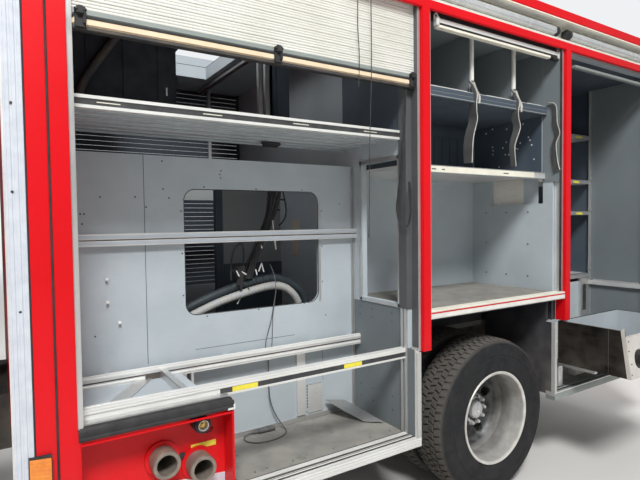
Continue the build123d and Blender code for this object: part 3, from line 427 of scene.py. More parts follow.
class Shape:
    """Collects the solids of one piece."""

    def __init__(self):
        self.mesh = bmesh.new()

    def outwards(self, faces=None):
        """Points faces outwards."""
        bmesh.ops.recalc_face_normals(self.mesh, faces=faces or self.mesh.faces)

    def ease(self, edges, width):
        """Takes the sharpness off edges."""
        bmesh.ops.bevel(
            self.mesh, geom=edges, offset=width, segments=2, affect="EDGES", clamp_overlap=True,
        )

    def slab(self, x, y, z, ease=0.0015):
        """A box between limits with eased edges."""
        made = bmesh.ops.create_cube(self.mesh, size=1.0)["verts"]
        for vert in made:
            vert.co = Vector(
                [low + (high - low) * (part + 0.5) for part, (low, high) in zip(vert.co, (x, y, z))],
            )
        if any(pair[0] > pair[1] for pair in (x, y, z)):
            self.outwards(list({f for v in made for f in v.link_faces}))
        width = min(ease, EASE_SHARE * min(abs(b - a) for a, b in (x, y, z)))
        if width > 0:
            self.ease(list({edge for vert in made for edge in vert.link_edges}), width)
        return self

    def rod(self, start, end, radius, sides=20, ease=0.0, radius_end=None):
        """A round bar from one point to another, perhaps tapered."""
        start, end = Vector(start), Vector(end)
        run = end - start
        turn = run.to_track_quat("Z", "Y").to_matrix().to_4x4()
        place = Matrix.Translation((start + end) / 2) @ turn
        made = bmesh.ops.create_cone(
            self.mesh, cap_ends=True, segments=sides, radius1=radius,
            radius2=radius if radius_end is None else radius_end, depth=run.length, matrix=place,
        )["verts"]
        if ease:
            edges = {e for v in made for e in v.link_edges}
            self.ease([e for e in edges if any(len(f.verts) > 4 for f in e.link_faces)], ease)
        return self

    def run(self, outline, start, end, side, rise):
        """An outline of (aside, up) corners carried from start to end."""
        start, end, side, rise = Vector(start), Vector(end), Vector(side), Vector(rise)
        rings = [
            [self.mesh.verts.new(at + side * a + rise * b) for a, b in outline] for at in (start, end)
        ]
        count = len(outline)
        faces = [self.mesh.faces.new(ring) for ring in rings]
        for i in range(count):
            j = (i + 1) % count
            faces.append(self.mesh.faces.new((rings[0][i], rings[0][j], rings[1][j], rings[1][i])))
        self.outwards(faces)
        return self

    def turned(self, profile, centre, steps=48, side=1, closed=False):
        """A profile of (distance along the axle, radius) turned about a line along Y."""
        centre = Vector(centre)
        rings = []
        for step in range(steps):
            angle = 2 * pi * step / steps
            across = Vector((cos(angle), 0, sin(angle)))
            rings.append(
                [self.mesh.verts.new(centre + Vector((0, side * a, 0)) + across * r) for a, r in profile],
            )
        faces = []
        spans = len(profile) if closed else len(profile) - 1
        for step in range(steps):
            one, two = rings[step], rings[(step + 1) % steps]
            for i in range(spans):
                j = (i + 1) % len(profile)
                faces.append(self.mesh.faces.new((one[i], one[j], two[j], two[i])))
        self.outwards(faces)
        return self

    def weld(self):
        """Joins corners that lie on each other."""
        bmesh.ops.remove_doubles(self.mesh, verts=self.mesh.verts, dist=WELD)
        bmesh.ops.dissolve_degenerate(self.mesh, edges=self.mesh.edges, dist=WELD)
        self.outwards()
        return self

    def tube(self, points, radius, sides=10):
        """A round tube through points, with smooth turns where the points are close."""
        points = [Vector(p) for p in points]
        rings = []
        side = None
        for i, point in enumerate(points):
            along = (points[min(i + 1, len(points) - 1)] - points[max(i - 1, 0)]).normalized()
            if side is None:
                side = along.orthogonal().normalized()
            side = (side - along * side.dot(along)).normalized()
            over = along.cross(side)
            rings.append(
                [
                    self.mesh.verts.new(
                        point + (side * cos(2 * pi * k / sides) + over * sin(2 * pi * k / sides)) * radius,
                    )
                    for k in range(sides)
                ],
            )
        faces = [self.mesh.faces.new(rings[0]), self.mesh.faces.new(rings[-1])]
        for one, two in zip(rings, rings[1:]):
            for k in range(sides):
                n = (k + 1) % sides
                faces.append(self.mesh.faces.new((one[k], one[n], two[n], two[k])))
        self.outwards(faces)
        return self

    def sheet_of(self, grid, thick, normal):
        """A thin sheet through a grid of points, given a thickness along a direction."""
        normal = Vector(normal) * thick
        front = [[self.mesh.verts.new(Vector(p)) for p in row] for row in grid]
        back = [[self.mesh.verts.new(Vector(p) - normal) for p in row] for row in grid]
        faces = []
        rows, cols = len(grid), len(grid[0])
        for i in range(rows - 1):
            for j in range(cols - 1):
                for layer in (front, back):
                    faces.append(
                        self.mesh.faces.new(
                            (layer[i][j], layer[i + 1][j], layer[i + 1][j + 1], layer[i][j + 1]),
                        ),
                    )
        rim = [(i, 0) for i in range(rows)] + [(rows - 1, j) for j in range(1, cols)]
        rim += [(i, cols - 1) for i in range(rows - 2, -1, -1)] + [(0, j) for j in range(cols - 2, 0, -1)]
        for (a, b), (c, d) in zip(rim, rim[1:] + rim[:1]):
            faces.append(self.mesh.faces.new((front[a][b], front[c][d], back[c][d], back[a][b])))
        self.outwards(faces)
        return self

    def mesh_data(self, name):
        data = bpy.data.meshes.new(name)
        self.mesh.to_mesh(data)
        self.mesh.free()
        return data


def slabs(*rows):
    """A shape of boxes, each with its limits along X, Y and Z and the ease of its edges."""
    shape = Shape()
    for row in rows:
        shape.slab(*row)
    return shape


def on_side(side):
    """Gives the limits along Y of what lies between two distances from the middle, on one side."""
    return lambda near, far: (side * near, side * far)


def show(data, name, body, material, soft_angle=32):
    """Makes a finished mesh a piece that moves with a body."""
    data.materials.clear()
    data.materials.append(FINISHES[material])
    data.shade_smooth()
    data.set_sharp_from_angle(angle=radians(soft_angle))
    made = bpy.data.objects.new(name, data)
    bpy.context.collection.objects.link(made)
    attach(made, body)
    return made


def piece(shape, name, body="root", material="alloy_profile"):
    return show(shape.mesh_data(name), name, body, material)


# Repeating pieces, by Geometry Nodes
def tree_with(name, inputs):
    """A node group with named inputs and one geometry output."""
    tree = bpy.data.node_groups.new(name, "GeometryNodeTree")
    for label, kind in inputs:
        tree.interface.new_socket(label, in_out="INPUT", socket_type=kind)
    tree.interface.new_socket("Pieces", in_out="OUTPUT", socket_type="NodeSocketGeometry")
    return tree, tree.nodes.new("NodeGroupInput"), tree.nodes.new("NodeGroupOutput")


def close_tree(tree, source, points, rotation, scale, end):
    """Puts the part on the points, makes it real and gives it its finish."""
    part = put(
        tree, "GeometryNodeObjectInfo", {"Object": source.outputs["Part"]}, transform_space="ORIGINAL",
    )
    placed = put(tree, "GeometryNodeInstanceOnPoints", {
        "Points": points, "Instance": part.outputs["Geometry"], "Rotation": rotation, "Scale": scale,
    })
    real = put(tree, "GeometryNodeRealizeInstances", {"Geometry": placed.outputs[0]})
    dressed = put(
        tree, "GeometryNodeSetMaterial",
        {"Geometry": real.outputs[0], "Material": source.outputs["Finish"]},
    )
    tree.links.new(dressed.outputs[0], end.inputs[0])


def fixings_tree():
    """The same small part at every corner of a mesh of places."""
    tree, source, end = tree_with("fixings", [
        ("Places", "NodeSocketGeometry"), ("Part", "NodeSocketObject"), ("Turn", "NodeSocketRotation"),
        ("Size", "NodeSocketFloat"), ("Spin", "NodeSocketFloat"), ("Seed", "NodeSocketInt"),
        ("Finish", "NodeSocketMaterial"),
    ])
    points = put(tree, "GeometryNodeMeshToPoints", {0: source.outputs["Places"]})
    spin = put(tree, "FunctionNodeRandomValue", {"Seed": source.outputs["Seed"]}, data_type="FLOAT")
    tree.links.new(source.outputs["Spin"], spin.inputs[3])
    turn = put(tree, "FunctionNodeAxisAngleToRotation", {"Axis": (0, 0, 1), "Angle": spin.outputs[1]})
    both = put(tree, "FunctionNodeRotateRotation", {
        "Rotation": source.outputs["Turn"], "Rotate By": turn.outputs[0],
    }, rotation_space="LOCAL")
    close_tree(tree, source, points.outputs[0], both.outputs[0], source.outputs["Size"], end)
    return tree


def row_tree():
    """Parts set one after another along a step."""
    tree, source, end = tree_with("row", [
        ("Places", "NodeSocketGeometry"), ("Part", "NodeSocketObject"), ("Count", "NodeSocketInt"),
        ("Start", "NodeSocketVector"), ("Step", "NodeSocketVector"), ("Finish", "NodeSocketMaterial"),
    ])
    line = put(
        tree, "GeometryNodeMeshLine",
        {
            "Count": source.outputs["Count"], "Start Location": source.outputs["Start"],
            "Offset": source.outputs["Step"],
        },
        mode="OFFSET", count_mode="TOTAL",
    )
    points = put(tree, "GeometryNodeMeshToPoints", {0: line.outputs[0]})
    close_tree(tree, source, points.outputs[0], (0, 0, 0), (1, 1, 1), end)
    return tree


def circle_tree():
    """Parts set round an axle, each turned to face outwards."""
    tree, source, end = tree_with("circle", [
        ("Places", "NodeSocketGeometry"), ("Part", "NodeSocketObject"), ("Count", "NodeSocketInt"),
        ("Radius", "NodeSocketFloat"), ("Start", "NodeSocketFloat"), ("Centre", "NodeSocketVector"),
        ("Finish", "NodeSocketMaterial"),
    ])
    line = put(tree, "GeometryNodeMeshLine", {"Count": source.outputs["Count"]}, mode="OFFSET")
    points = put(tree, "GeometryNodeMeshToPoints", {0: line.outputs[0]})
    index = put(tree, "GeometryNodeInputIndex").outputs[0]
    share = maths(tree, "DIVIDE", index, source.outputs["Count"])
    angle = maths(tree, "MULTIPLY_ADD", share, 2 * pi, source.outputs["Start"])
    turn = put(tree, "FunctionNodeAxisAngleToRotation", {"Axis": (0, -1, 0), "Angle": angle})
    out = put(tree, "ShaderNodeCombineXYZ", {0: source.outputs["Radius"]}).outputs[0]
    spot = put(tree, "FunctionNodeRotateVector", {"Vector": out, "Rotation": turn.outputs[0]})
    spot = vectors(tree, "ADD", spot.outputs[0], source.outputs["Centre"])
    placed = put(tree, "GeometryNodeSetPosition", {"Geometry": points.outputs[0], "Position": spot})
    close_tree(tree, source, placed.outputs[0], turn.outputs[0], (1, 1, 1), end)
    return tree


FIXINGS, ROW, CIRCLE = fixings_tree(), row_tree(), circle_tree()


def grow(tree, holder, name, body, material, slot, **values):
    """Runs a tree on a holder mesh and keeps the plain mesh that it makes."""
    made = bpy.data.objects.new(name + "_source", holder)
    bpy.context.collection.objects.link(made)
    modifier = made.modifiers.new("repeat", "NODES")
    modifier.node_group = tree
    values["Finish"] = FINISHES[material]
    for item in tree.interface.items_tree:
        if item.in_out == "INPUT" and item.name in values:
            modifier[item.identifier] = values[item.name]
    bpy.context.view_layer.update()
    graph = bpy.context.evaluated_depsgraph_get()
    data = bpy.data.meshes.new_from_object(made.evaluated_get(graph))
    bpy.data.objects.remove(made)
    return show(data, name, body, material)


def part_object(shape, name):
    """A small part kept aside for the trees to repeat."""
    return bpy.data.objects.new(name, shape.mesh_data(name))


def places(points):
    data = bpy.data.meshes.new("places")
    data.from_pydata([tuple(p) for p in points], [], [])
    return data


FULL_TURN = 6.28
FACING = {
    "left": (-pi / 2, 0, 0), "right": (pi / 2, 0, 0), "front": (0, pi / 2, 0), "back": (0, -pi / 2, 0),
    "up": (0, 0, 0),
}


def fix(
    part, points, name, facing="left", body="root", material="zinc_screw", slot=None, size=1.0, seed=1,
):
    return grow(FIXINGS, places(points), name, body, material, slot,
                Part=part, Turn=FACING[facing], Size=size, Spin=FULL_TURN, Seed=seed)


def repeat(part, count, start, step, name, body, material, slot=None):
    return grow(ROW, places([(0, 0, 0)]), name, body, material, slot,
                Part=part, Count=count, Start=start, Step=step)


def circle(part, count, radius, centre, name, body, material, start=0.0):
    return grow(CIRCLE, places([(0, 0, 0)]), name, body, material, None,
                Part=part, Count=count, Radius=radius, Centre=centre, Start=start)


# Finishes of the frame's own parts
for owner in NODES.values():
    for holder in owner.material_slots:
        name = holder.material.name.split(".")[0] if holder.material else ""
        if name in FINISHES and holder.material is not FINISHES[name]:
            holder.material = FINISHES[name]


# Loose cable of the first locker, and its plug
CORD_RADIUS = 0.0035
CORD_ROUTE = [
    (-0.365, 0.692, 0.985), (-0.365, 0.692, 0.925), (-0.366, 0.692, 0.85), (-0.368, 0.692, 0.765),
    (-0.386, 0.692, 0.695), (-0.412, 0.692, 0.64), (-0.442, 0.694, 0.59), (-0.456, 0.712, 0.566),
    (-0.446, 0.76, 0.564), (-0.408, 0.796, 0.564), (-0.35, 0.819, 0.564), (-0.288, 0.823, 0.564),
    (-0.229, 0.806, 0.564), (-0.191, 0.769, 0.565), (-0.186, 0.722, 0.568), (-0.214, 0.693, 0.574),
    (-0.258, 0.692, 0.574),
]
cord_line = bpy.data.curves.new("loose_cable", "CURVE")
cord_line.dimensions = "3D"
cord_line.bevel_depth = CORD_RADIUS
cord_line.bevel_resolution = 4
cord_line.resolution_u = 12
spline = cord_line.splines.new("NURBS")
spline.points.add(len(CORD_ROUTE) - 1)
for point, spot in zip(spline.points, CORD_ROUTE):
    point.co = (*spot, 1.0)
spline.order_u = 3
spline.use_endpoint_u = True
cord_line.materials.append(FINISHES["cable_rubber"])
loose_cable = bpy.data.objects.new("loose_cable", cord_line)
bpy.context.collection.objects.link(loose_cable)
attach(loose_cable, "root")
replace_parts(loose_cable, "locker1_cable")

plug_run = Vector((-0.04, 0.001, 0)).normalized()
plug_start = Vector(CORD_ROUTE[-1])
plug_shape = Shape()
plug_shape.rod(plug_start, plug_start + plug_run * 0.036, 0.0055, 20, 0.001, radius_end=0.0085)
for ring in range(5):
    at = plug_start + plug_run * (0.006 + 0.006 * ring)
    plug_shape.rod(at, at + plug_run * 0.003, 0.0065 + 0.0005 * ring, 20, 0.0006)
plug_shape.rod(plug_start + plug_run * 0.035, plug_start + plug_run * 0.1, 0.0135, 28, 0.003)
plug_shape.rod(plug_start + plug_run * 0.1, plug_start + plug_run * 0.112, 0.0142, 28, 0.0012)
plug_shape.rod(plug_start + plug_run * 0.112, plug_start + plug_run * 0.14, 0.0128, 28, 0.0015)
cable_end = piece(plug_shape, "cable_end", material="cable_rubber")
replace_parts(cable_end, "cable_plug")

# Floor and soft studio light
FLOOR_SIZE = 60.0
FADE_START, FADE_END = 6.5, 22.0
AMBIENT, SEEN = 0.42, 0.9
DAYLIGHT = (0.96, 0.98, 1.0, 1.0)
floor_shape = Shape()
corners = [
    floor_shape.mesh.verts.new((x * FLOOR_SIZE, y * FLOOR_SIZE, 0))
    for x, y in ((-1, -1), (1, -1), (1, 1), (-1, 1))
]
floor_shape.mesh.faces.new(corners)
floor = bpy.data.objects.new("studio_floor", floor_shape.mesh_data("studio_floor"))
bpy.context.collection.objects.link(floor)
floor.data.materials.append(
    finish("studio_floor", (0.62, 0.61, 0.59), 0.9, second=(0.6, 0.59, 0.57), patch=2.0, bump=0.0),
)
tree, shader = shader_of(floor.data.materials[0])
flat_spot = put(
    tree, "ShaderNodeVectorMath", {0: put(tree, "ShaderNodeTexCoord").outputs["Object"]},
    operation="LENGTH",
)
fade = put(
    tree, "ShaderNodeMapRange",
    {"Value": flat_spot.outputs["Value"], "From Min": FADE_START, "From Max": FADE_END},
)
looked_at = put(tree, "ShaderNodeLightPath").outputs["Is Camera Ray"]
glow = put(tree, "ShaderNodeEmission", {"Color": DAYLIGHT, "Strength": SEEN})
mixed = put(tree, "ShaderNodeMixShader", {0: maths(tree, "MULTIPLY", fade.outputs["Result"], looked_at)})
tree.links.new(shader.outputs[0], mixed.inputs[1])
tree.links.new(glow.outputs[0], mixed.inputs[2])
tree.links.new(mixed.outputs[0], tree.nodes["Material Output"].inputs["Surface"])

world = bpy.data.worlds.new("studio")
bpy.context.scene.world = world
world.use_nodes = True
sky = world.node_tree
background = sky.nodes["Background"]
rays = put(sky, "ShaderNodeLightPath")
seen = maths(sky, "MAXIMUM", rays.outputs["Is Camera Ray"], rays.outputs["Is Transmission Ray"])
sky.links.new(maths(sky, "MULTIPLY_ADD", seen, SEEN - AMBIENT, AMBIENT), background.inputs["Strength"])
background.inputs["Color"].default_value = DAYLIGHT


def lamp(name, spot, aim, power, size):
    """A square area light that looks at a point."""
    data = bpy.data.lights.new(name, "AREA")
    data.energy = power
    data.size = size
    made = bpy.data.objects.new(name, data)
    made.location = spot
    made.rotation_mode = "QUATERNION"
    made.rotation_quaternion = (Vector(aim) - Vector(spot)).to_track_quat("-Z", "Y")
    bpy.context.collection.objects.link(made)


lamp("key", (2.2, 7.4, 10.0), (-0.6, 0.6, 1.4), 1500, 2.6)
lamp("fill_front", (8.0, -5.0, 6.0), (0.5, 0, 1.5), 420, 6.0)
lamp("fill_rear", (-9.0, -3.0, 6.0), (-1.0, 0, 1.5), 380, 6.0)


def between(a, b, c, d, t):
    """A place on the smooth line from b to c, with a before and d after them."""
    return 0.5 * (
        2 * b + (c - a) * t + (2 * a - 5 * b + 4 * c - d) * t * t + (3 * b - a - 3 * c + d) * t ** 3
    )


def with_neighbours(line):
    """The stretches of a line, each with the places before and after it."""
    return zip([line[0]] + line, line, line[1:], line[2:] + [line[-1]])


def curve_through(points, steps=8):
    """Evenly placed points of a smooth line through a few."""
    points = [Vector(p) for p in points]
    line = [between(*four, step / steps) for four in with_neighbours(points) for step in range(steps)]
    return line + [points[-1]]


# Small parts that repeat
screw = Shape()
screw.rod((0, 0, -0.001), (0, 0, 0.0028), 0.0055, 14, 0.0009)
screw.slab((-0.0038, 0.0038), (-0.0006, 0.0006), (0.0022, 0.0031), 0)
SCREW = part_object(screw, "pan_screw")
bolt = Shape()
bolt.rod((0, 0, -0.001), (0, 0, 0.0018), 0.0095, 18, 0.0005)
bolt.rod((0, 0, 0.001), (0, 0, 0.0075), 0.0072, 6, 0.0007)
BOLT = part_object(bolt, "hex_bolt")
RIVET = part_object(Shape().rod((0, 0, -0.001), (0, 0, 0.0022), 0.0042, 10, 0.0013), "rivet")
HOLE = part_object(Shape().rod((0, 0, -0.0008), (0, 0, 0.0007), 0.0045, 10), "open_hole")
STUD = part_object(Shape().rod((0, 0, -0.001), (0, 0, 0.0025), 0.006, 12, 0.0012), "floor_stud")

SIDE, TRIM_REAR, BODY_FRONT = 1.25, 0.854, 0.925
OPEN1, OPEN2, OPEN3 = (0.713, -1.065), (-1.127, -2.442), (-2.505, -3.757)
SHUTTERS = [("first", OPEN1, 2.52, 1.058), ("second", OPEN2, 2.893, 1.269), ("third", OPEN3, 2.893, 1.06)]
GUIDE = 0.022
HANDS = (("left", 1), ("right", -1))


# Front corner trims: white taped flutes with a line of screws, and the red post's covers beside them
def flutes(low, high, ribs, base, proud):
    """Outline across x of a fluted face, closed at its back."""
    outline = [(low, base)]
    pitch = (high - low) / ribs
    for rib in range(ribs):
        start = low + rib * pitch
        outline += [
            (start + 0.1 * pitch, base + proud), (start + 0.62 * pitch, base + proud),
            (start + 0.72 * pitch, base + 0.25 * proud), (start + 0.96 * pitch, base + 0.25 * proud),
        ]
    return outline + [(high, base), (high, base - 0.003), (low, base - 0.003)]


for hand, side in HANDS:
    y = on_side(side)
    piece(
        Shape().run(
            flutes(TRIM_REAR + 0.002, BODY_FRONT - 0.006, 3, SIDE, 0.0035), (0, 0, 0.45), (0, 0, 3.172),
            (1, 0, 0), (0, side, 0),
        ),
        f"corner_flutes_{hand}", material="honeycomb_tape",
    )
    covers = Shape()
    for low, high in ((0.7145, 0.7765), (0.7855, 0.8535)):
        covers.slab((low, high), y(SIDE - 0.004, SIDE + 0.003), (0.45, 3.02), 0.0025)
    for rear, front in ((OPEN2[0], OPEN1[1]), (OPEN3[0], OPEN2[1])):
        covers.slab((rear + 0.001, front - 0.001), y(SIDE - 0.004, SIDE + 0.003), (1.062, 3.008), 0.0025)
    covers.slab((-3.879, OPEN3[1] - 0.001), y(SIDE - 0.004, SIDE + 0.003), (0.508, 3.008), 0.0025)
    covers.slab((-3.879, 0.853), y(SIDE - 0.004, SIDE + 0.0025), (2.971, 3.02), 0.002)
    covers.slab((-3.879, 0.923), y(SIDE - 0.004, SIDE + 0.0025), (3.174, 3.234), 0.003)
    piece(covers, f"post_covers_{hand}", material="red_paint")
    seals = Shape()
    for x in (0.781, 0.8555):
        seals.rod((x, side * (SIDE + 0.0005), 0.452), (x, side * (SIDE + 0.0005), 3.015), 0.0042, 10)
    piece(seals, f"post_seals_{hand}", material="rubber_black")
    fix(
        SCREW,
        [
            (x, side * (SIDE + 0.0012), z)
            for x, z in ((0.893, 2.215), (0.899, 1.905), (0.886, 1.48), (0.894, 0.76), (0.888, 2.79))
        ],
        f"trim_screws_{hand}", hand, material="dark_screw", seed=3,
    )
    wedge = [(0.803, 0), (0.877, 0), (0.877, 0.008), (0.803, 0.026)]
    lens = Shape().run(wedge, (0, side * SIDE, 0.798), (0, side * SIDE, 0.951), (1, 0, 0), (0, side, 0))
    piece(lens, f"lamp_wedge_{hand}", material="rubber_black")


# Shutters: ribbed curtains with their bars and latches
def slat_part(width):
    """One slat: an arched strip with three fine ribs on its face."""
    shape = Shape()
    outline = [(-0.0062, 0.0005), (-0.0062, 0.0385)]
    for rib in range(3):
        base = 0.0385 - rib * 0.0128
        outline += [
            (0.003, base), (0.0058, base - 0.0025), (0.0062, base - 0.006), (0.0052, base - 0.0095),
            (0.0024, base - 0.0115),
        ]
    shape.run(outline, (-width / 2, 0, 0), (width / 2, 0, 0), (0, 1, 0), (0, 0, 1))
    return part_object(shape, "slat")


SLAT_STEP = 0.0395
CURTAIN_Y = 1.203
RAISED = 2.8


def raised_bar(label, hand, side, ends, foot):
    """The bar of a shutter that is rolled up: a pale strip over a cream one, held in hooks."""
    y = on_side(side)
    # The third bar takes the grey copy: painted shade.
    if label == "third":
        rail = slabs((ends, y(1.19, 1.222), (foot - 0.017, foot + 0.006), 0.004))
        piece(rail, f"bar_rails_{label}_{hand}", material="bar_grey")
        return
    upper = Shape()
    upper.slab(ends, y(1.19, 1.222), (foot + 0.028, foot + 0.058), 0.004)
    for x, way in ((ends[0], -1), (ends[1], 1)):
        upper.slab(sorted((x, x + way * 0.022)), y(1.196, 1.228), (foot + 0.01, foot + 0.062), 0.003)
        hook = [(0.0, 0.056), (0.004, 0.078), (0.016, 0.088), (0.028, 0.08), (0.03, 0.062), (0.024, 0.05)]
        upper.tube([(x + way * a, side * 1.214, foot + b - 0.004) for a, b in hook], 0.0045, 10)
    piece(upper, f"bar_rails_{label}_{hand}", material="bright_rail")
    piece(
        Shape().slab(
            (ends[0] + 0.085, ends[1] + 0.012), y(1.19, 1.2225), (foot + 0.001, foot + 0.022), 0.004,
        ),
        f"bar_band_{label}_{hand}", material="cream_strip",
    )
    piece(
        slabs(
            ((ends[0] + 0.004, ends[1] - 0.004), y(1.192, 1.2185), (foot + 0.014, foot + 0.036), 0.002),
            ((ends[0] - 0.01, ends[0] + 0.05), y(1.192, 1.224), (foot - 0.001, foot + 0.018), 0.004),
            ((ends[0] - 0.03, ends[1] + 0.07), y(1.15, 1.194), (foot + 0.062, foot + 0.112), 0.004),
        ),
        f"bar_line_{label}_{hand}", material="rubber_black",
    )


for label, (front, rear), left_foot, right_foot in SHUTTERS:
    for hand, side, foot in (("left", 1, left_foot), ("right", -1, right_foot)):
        width = front - rear - 2 * GUIDE
        part = slat_part(width)
        if side < 0:
            part.data.transform(Matrix.Rotation(pi, 4, "Z"))
        low = foot + 0.08
        count = int((3.009 - low) / SLAT_STEP)
        if count:
            middle = ((front + rear) / 2, side * CURTAIN_Y, low)
            made = repeat(
                part, count, middle, (0, 0, SLAT_STEP), f"curtain_{label}_{hand}", "root", "shutter_slats",
            )
            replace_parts(made, "left_shutters" if side > 0 else "closed_shutters")
        ends = (rear + GUIDE, front - GUIDE)
        y = on_side(side)
        if foot > RAISED:
            raised_bar(label, hand, side, (rear + 0.05, front - 0.1), foot)
            continue
        # The bar's rails take the grey copy: painted shade.
        piece(
            Shape().slab(ends, y(1.189, 1.2225), (foot + 0.056, foot + 0.079), 0.004),
            f"bar_rails_{label}_{hand}", material="bar_grey",
        )
        piece(
            Shape().slab(ends, y(1.19, 1.22), (foot + 0.002, foot + 0.018), 0.003),
            f"bar_foot_{label}_{hand}", material="chassis_grey",
        )
        piece(
            Shape().slab(ends, y(1.189, 1.2235), (foot + 0.0175, foot + 0.0465), 0.006),
            f"bar_band_{label}_{hand}", material="bar_beige",
        )
        lip = Shape()
        lip.slab(ends, y(1.192, 1.214), (foot, foot + 0.01), 0.003)
        lip.slab(ends, y(1.192, 1.22), (foot + 0.046, foot + 0.0565), 0.002)
        for x in (ends[0] + 0.03, (ends[0] + ends[1]) / 2, ends[1] - 0.03):
            lip.slab((x - 0.02, x + 0.02), y(1.219, 1.23), (foot + 0.006, foot + 0.08), 0.004)
            lip.slab((x - 0.014, x + 0.014), y(1.226, 1.244), (foot + 0.052, foot + 0.086), 0.005)
            lip.slab((x - 0.02, x - 0.008), y(1.226, 1.24), (foot + 0.02, foot + 0.084), 0.004)
            lip.rod(
                (x - 0.022, side * 1.236, foot + 0.072), (x + 0.022, side * 1.236, foot + 0.072), 0.0055,
                14, 0.001,
            )
        piece(lip, f"bar_latches_{label}_{hand}", material="rubber_black")


# Front locker: shelf, rails, bar, braces, wall fixings, louvre and floor
BACK1, BULK1, FRONT_IN = 0.667, -1.01, 0.895
LOCKER1, IN_LOCKER1 = (BULK1 + 0.001, FRONT_IN - 0.001), (BULK1 + 0.002, FRONT_IN - 0.002)
ON_BULK1, ON_BACK1 = (BULK1 + 0.0001, BULK1 + 0.0012), (BACK1 - 0.001, BACK1 + 0.0014)
SILL2 = (OPEN2[1] + 0.001, OPEN2[0] - 0.001)


def grooved(width, high, groove):
    """Outline (out, up) of a bar whose face has a sunk band between two flanges."""
    lip = (high - groove) / 2
    return [
        (0, 0), (width, 0), (width, lip), (width - 0.004, lip), (width - 0.004, high - lip),
        (width, high - lip), (width, high), (0, high),
    ]


piece(
    Shape().run(
        grooved(0.041, 0.052, 0.026), (BULK1 + 0.001, 1.0945, 2.249), (FRONT_IN - 0.001, 1.0945, 2.249),
        (0, 1, 0), (0, 0, 1),
    ),
    "shelf_front_rail", material="bright_rail",
)
piece(
    Shape().slab(IN_LOCKER1, (1.13, 1.1322), (2.2625, 2.2875), 0.0004), "shelf_recess",
    material="recess_dark",
)
labels = Shape()
for x in (0.552, 0.112, -0.35, -0.79):
    labels.slab((x - 0.045, x + 0.045), (1.1315, 1.1329), (2.2735, 2.2775), 0.0003)
piece(labels, "shelf_labels", material="pale_label")
under = Shape()
for row, y in enumerate((0.6, 0.7, 0.8, 0.9, 1.0, 1.07)):
    under.slab(IN_LOCKER1, (y - 0.012, y + 0.03), (2.2565, 2.2625), 0.002)
under.slab(IN_LOCKER1, (0.556, 0.566), (2.25, 2.287), 0.002)
piece(under, "shelf_underside", material="locker_grey")
piece(
    slabs(
        ((-0.478, -0.358), (0.655, 0.682), (2.238, 2.257), 0.005),
        ((-0.468, -0.368), (0.65, 0.668), (2.228, 2.24), 0.004),
    ),
    "shelf_handle", material="rubber_black",
)

# The wall rail takes the blue-grey finish: painted shade.
rails = Shape()
for y, z, high in ((0.6995, 1.6815, 0.026), (0.6995, 1.7115, 0.027)):
    rails.slab(LOCKER1, (y - 0.03, y + 0.0035), (z, z + high), 0.006)
piece(rails, "wall_rail", material="rail_blue")
# Dark lines in the grooves between the rail tubes: painted shade.
piece(
    slabs(
        (LOCKER1, (0.699, 0.7022), (1.707, 1.7122), 0.0006),
        (LOCKER1, (0.734, 0.7358), (1.0255, 1.033), 0.0006),
        ((0.232, 0.344), (0.734, 0.7356), (1.0, 1.033), 0.0006),
    ),
    "rail_lines", material="chassis_grey",
)
low_rails = Shape()
low_rails.rod((BULK1 + 0.001, 0.722, 1.048), (FRONT_IN - 0.001, 0.722, 1.048), 0.0155, 16)
for rear, front in ((BULK1 + 0.001, 0.232), (0.344, FRONT_IN - 0.001)):
    low_rails.rod((rear, 0.725, 1.012), (front, 0.725, 1.012), 0.0125, 16, 0.002)
piece(low_rails, "low_rails", material="bright_rail")
bar_outline = [
    (0, 0), (0.041, 0), (0.042, 0.008), (0.038, 0.01), (0.038, 0.034), (0.042, 0.036), (0.0425, 0.042),
    (0.04, 0.0435), (0.04, 0.0465), (0.042, 0.048), (0.041, 0.0575), (0.03, 0.0585), (0.028, 0.056),
    (0.02, 0.056), (0.018, 0.0585), (0, 0.0585),
]
piece(
    Shape().run(
        bar_outline, (BULK1 + 0.001, 1.128, 0.9995), (FRONT_IN - 0.001, 1.128, 0.9995), (0, 1, 0),
        (0, 0, 1),
    ),
    "front_bar", material="bright_rail",
)
piece(
    Shape().slab((BULK1 + 0.002, 0.116), (1.165, 1.1672), (1.01, 1.033), 0.0005), "bar_recess",
    material="recess_dark",
)
bar_labels = Shape()
for low, high in ((-0.072, 0.057), (-0.69, -0.572)):
    bar_labels.slab((low, high), (1.1665, 1.1682), (1.0105, 1.0325), 0.0004)
piece(bar_labels, "bar_labels", material="yellow_label")

braces = Shape()
braces.slab((0.262, 0.2685), (0.72, 1.127), (0.972, 1.041), 0.002)
braces.slab((0.236, 0.2685), (0.72, 1.127), (1.036, 1.042), 0.002)
braces.sheet_of(
    [[(0.376, 0.716, 1.008), (0.66, 1.126, 1.008)], [(0.298, 0.716, 1.008), (0.566, 1.126, 1.008)]],
    0.005, (0, 0, 1),
)
for x in (0.141, 0.103):
    braces.slab((x - 0.008, x + 0.008), (0.712, 0.738), (0.562, 1.002), 0.003)
piece(braces, "rail_braces", material="anodised_upright")
piece(
    Shape().slab((0.158, 0.894), (0.6685, 1.1245), (1.0003, 1.0018), 0.0004), "landing_sheet",
    material="locker_grey",
)
knob = Shape()
knob.rod((0.252, 0.716, 1.022), (0.252, 0.752, 1.022), 0.013, 18, 0.003)
knob.rod((0.252, 0.75, 1.022), (0.252, 0.76, 1.022), 0.008, 6, 0.001)
piece(knob, "rail_knob", material="zinc_screw")
piece(
    Shape().slab((0.245, 0.893), (0.7385, 0.7545), (0.977, 0.999), 0.002), "beige_strip",
    material="cream_strip",
)


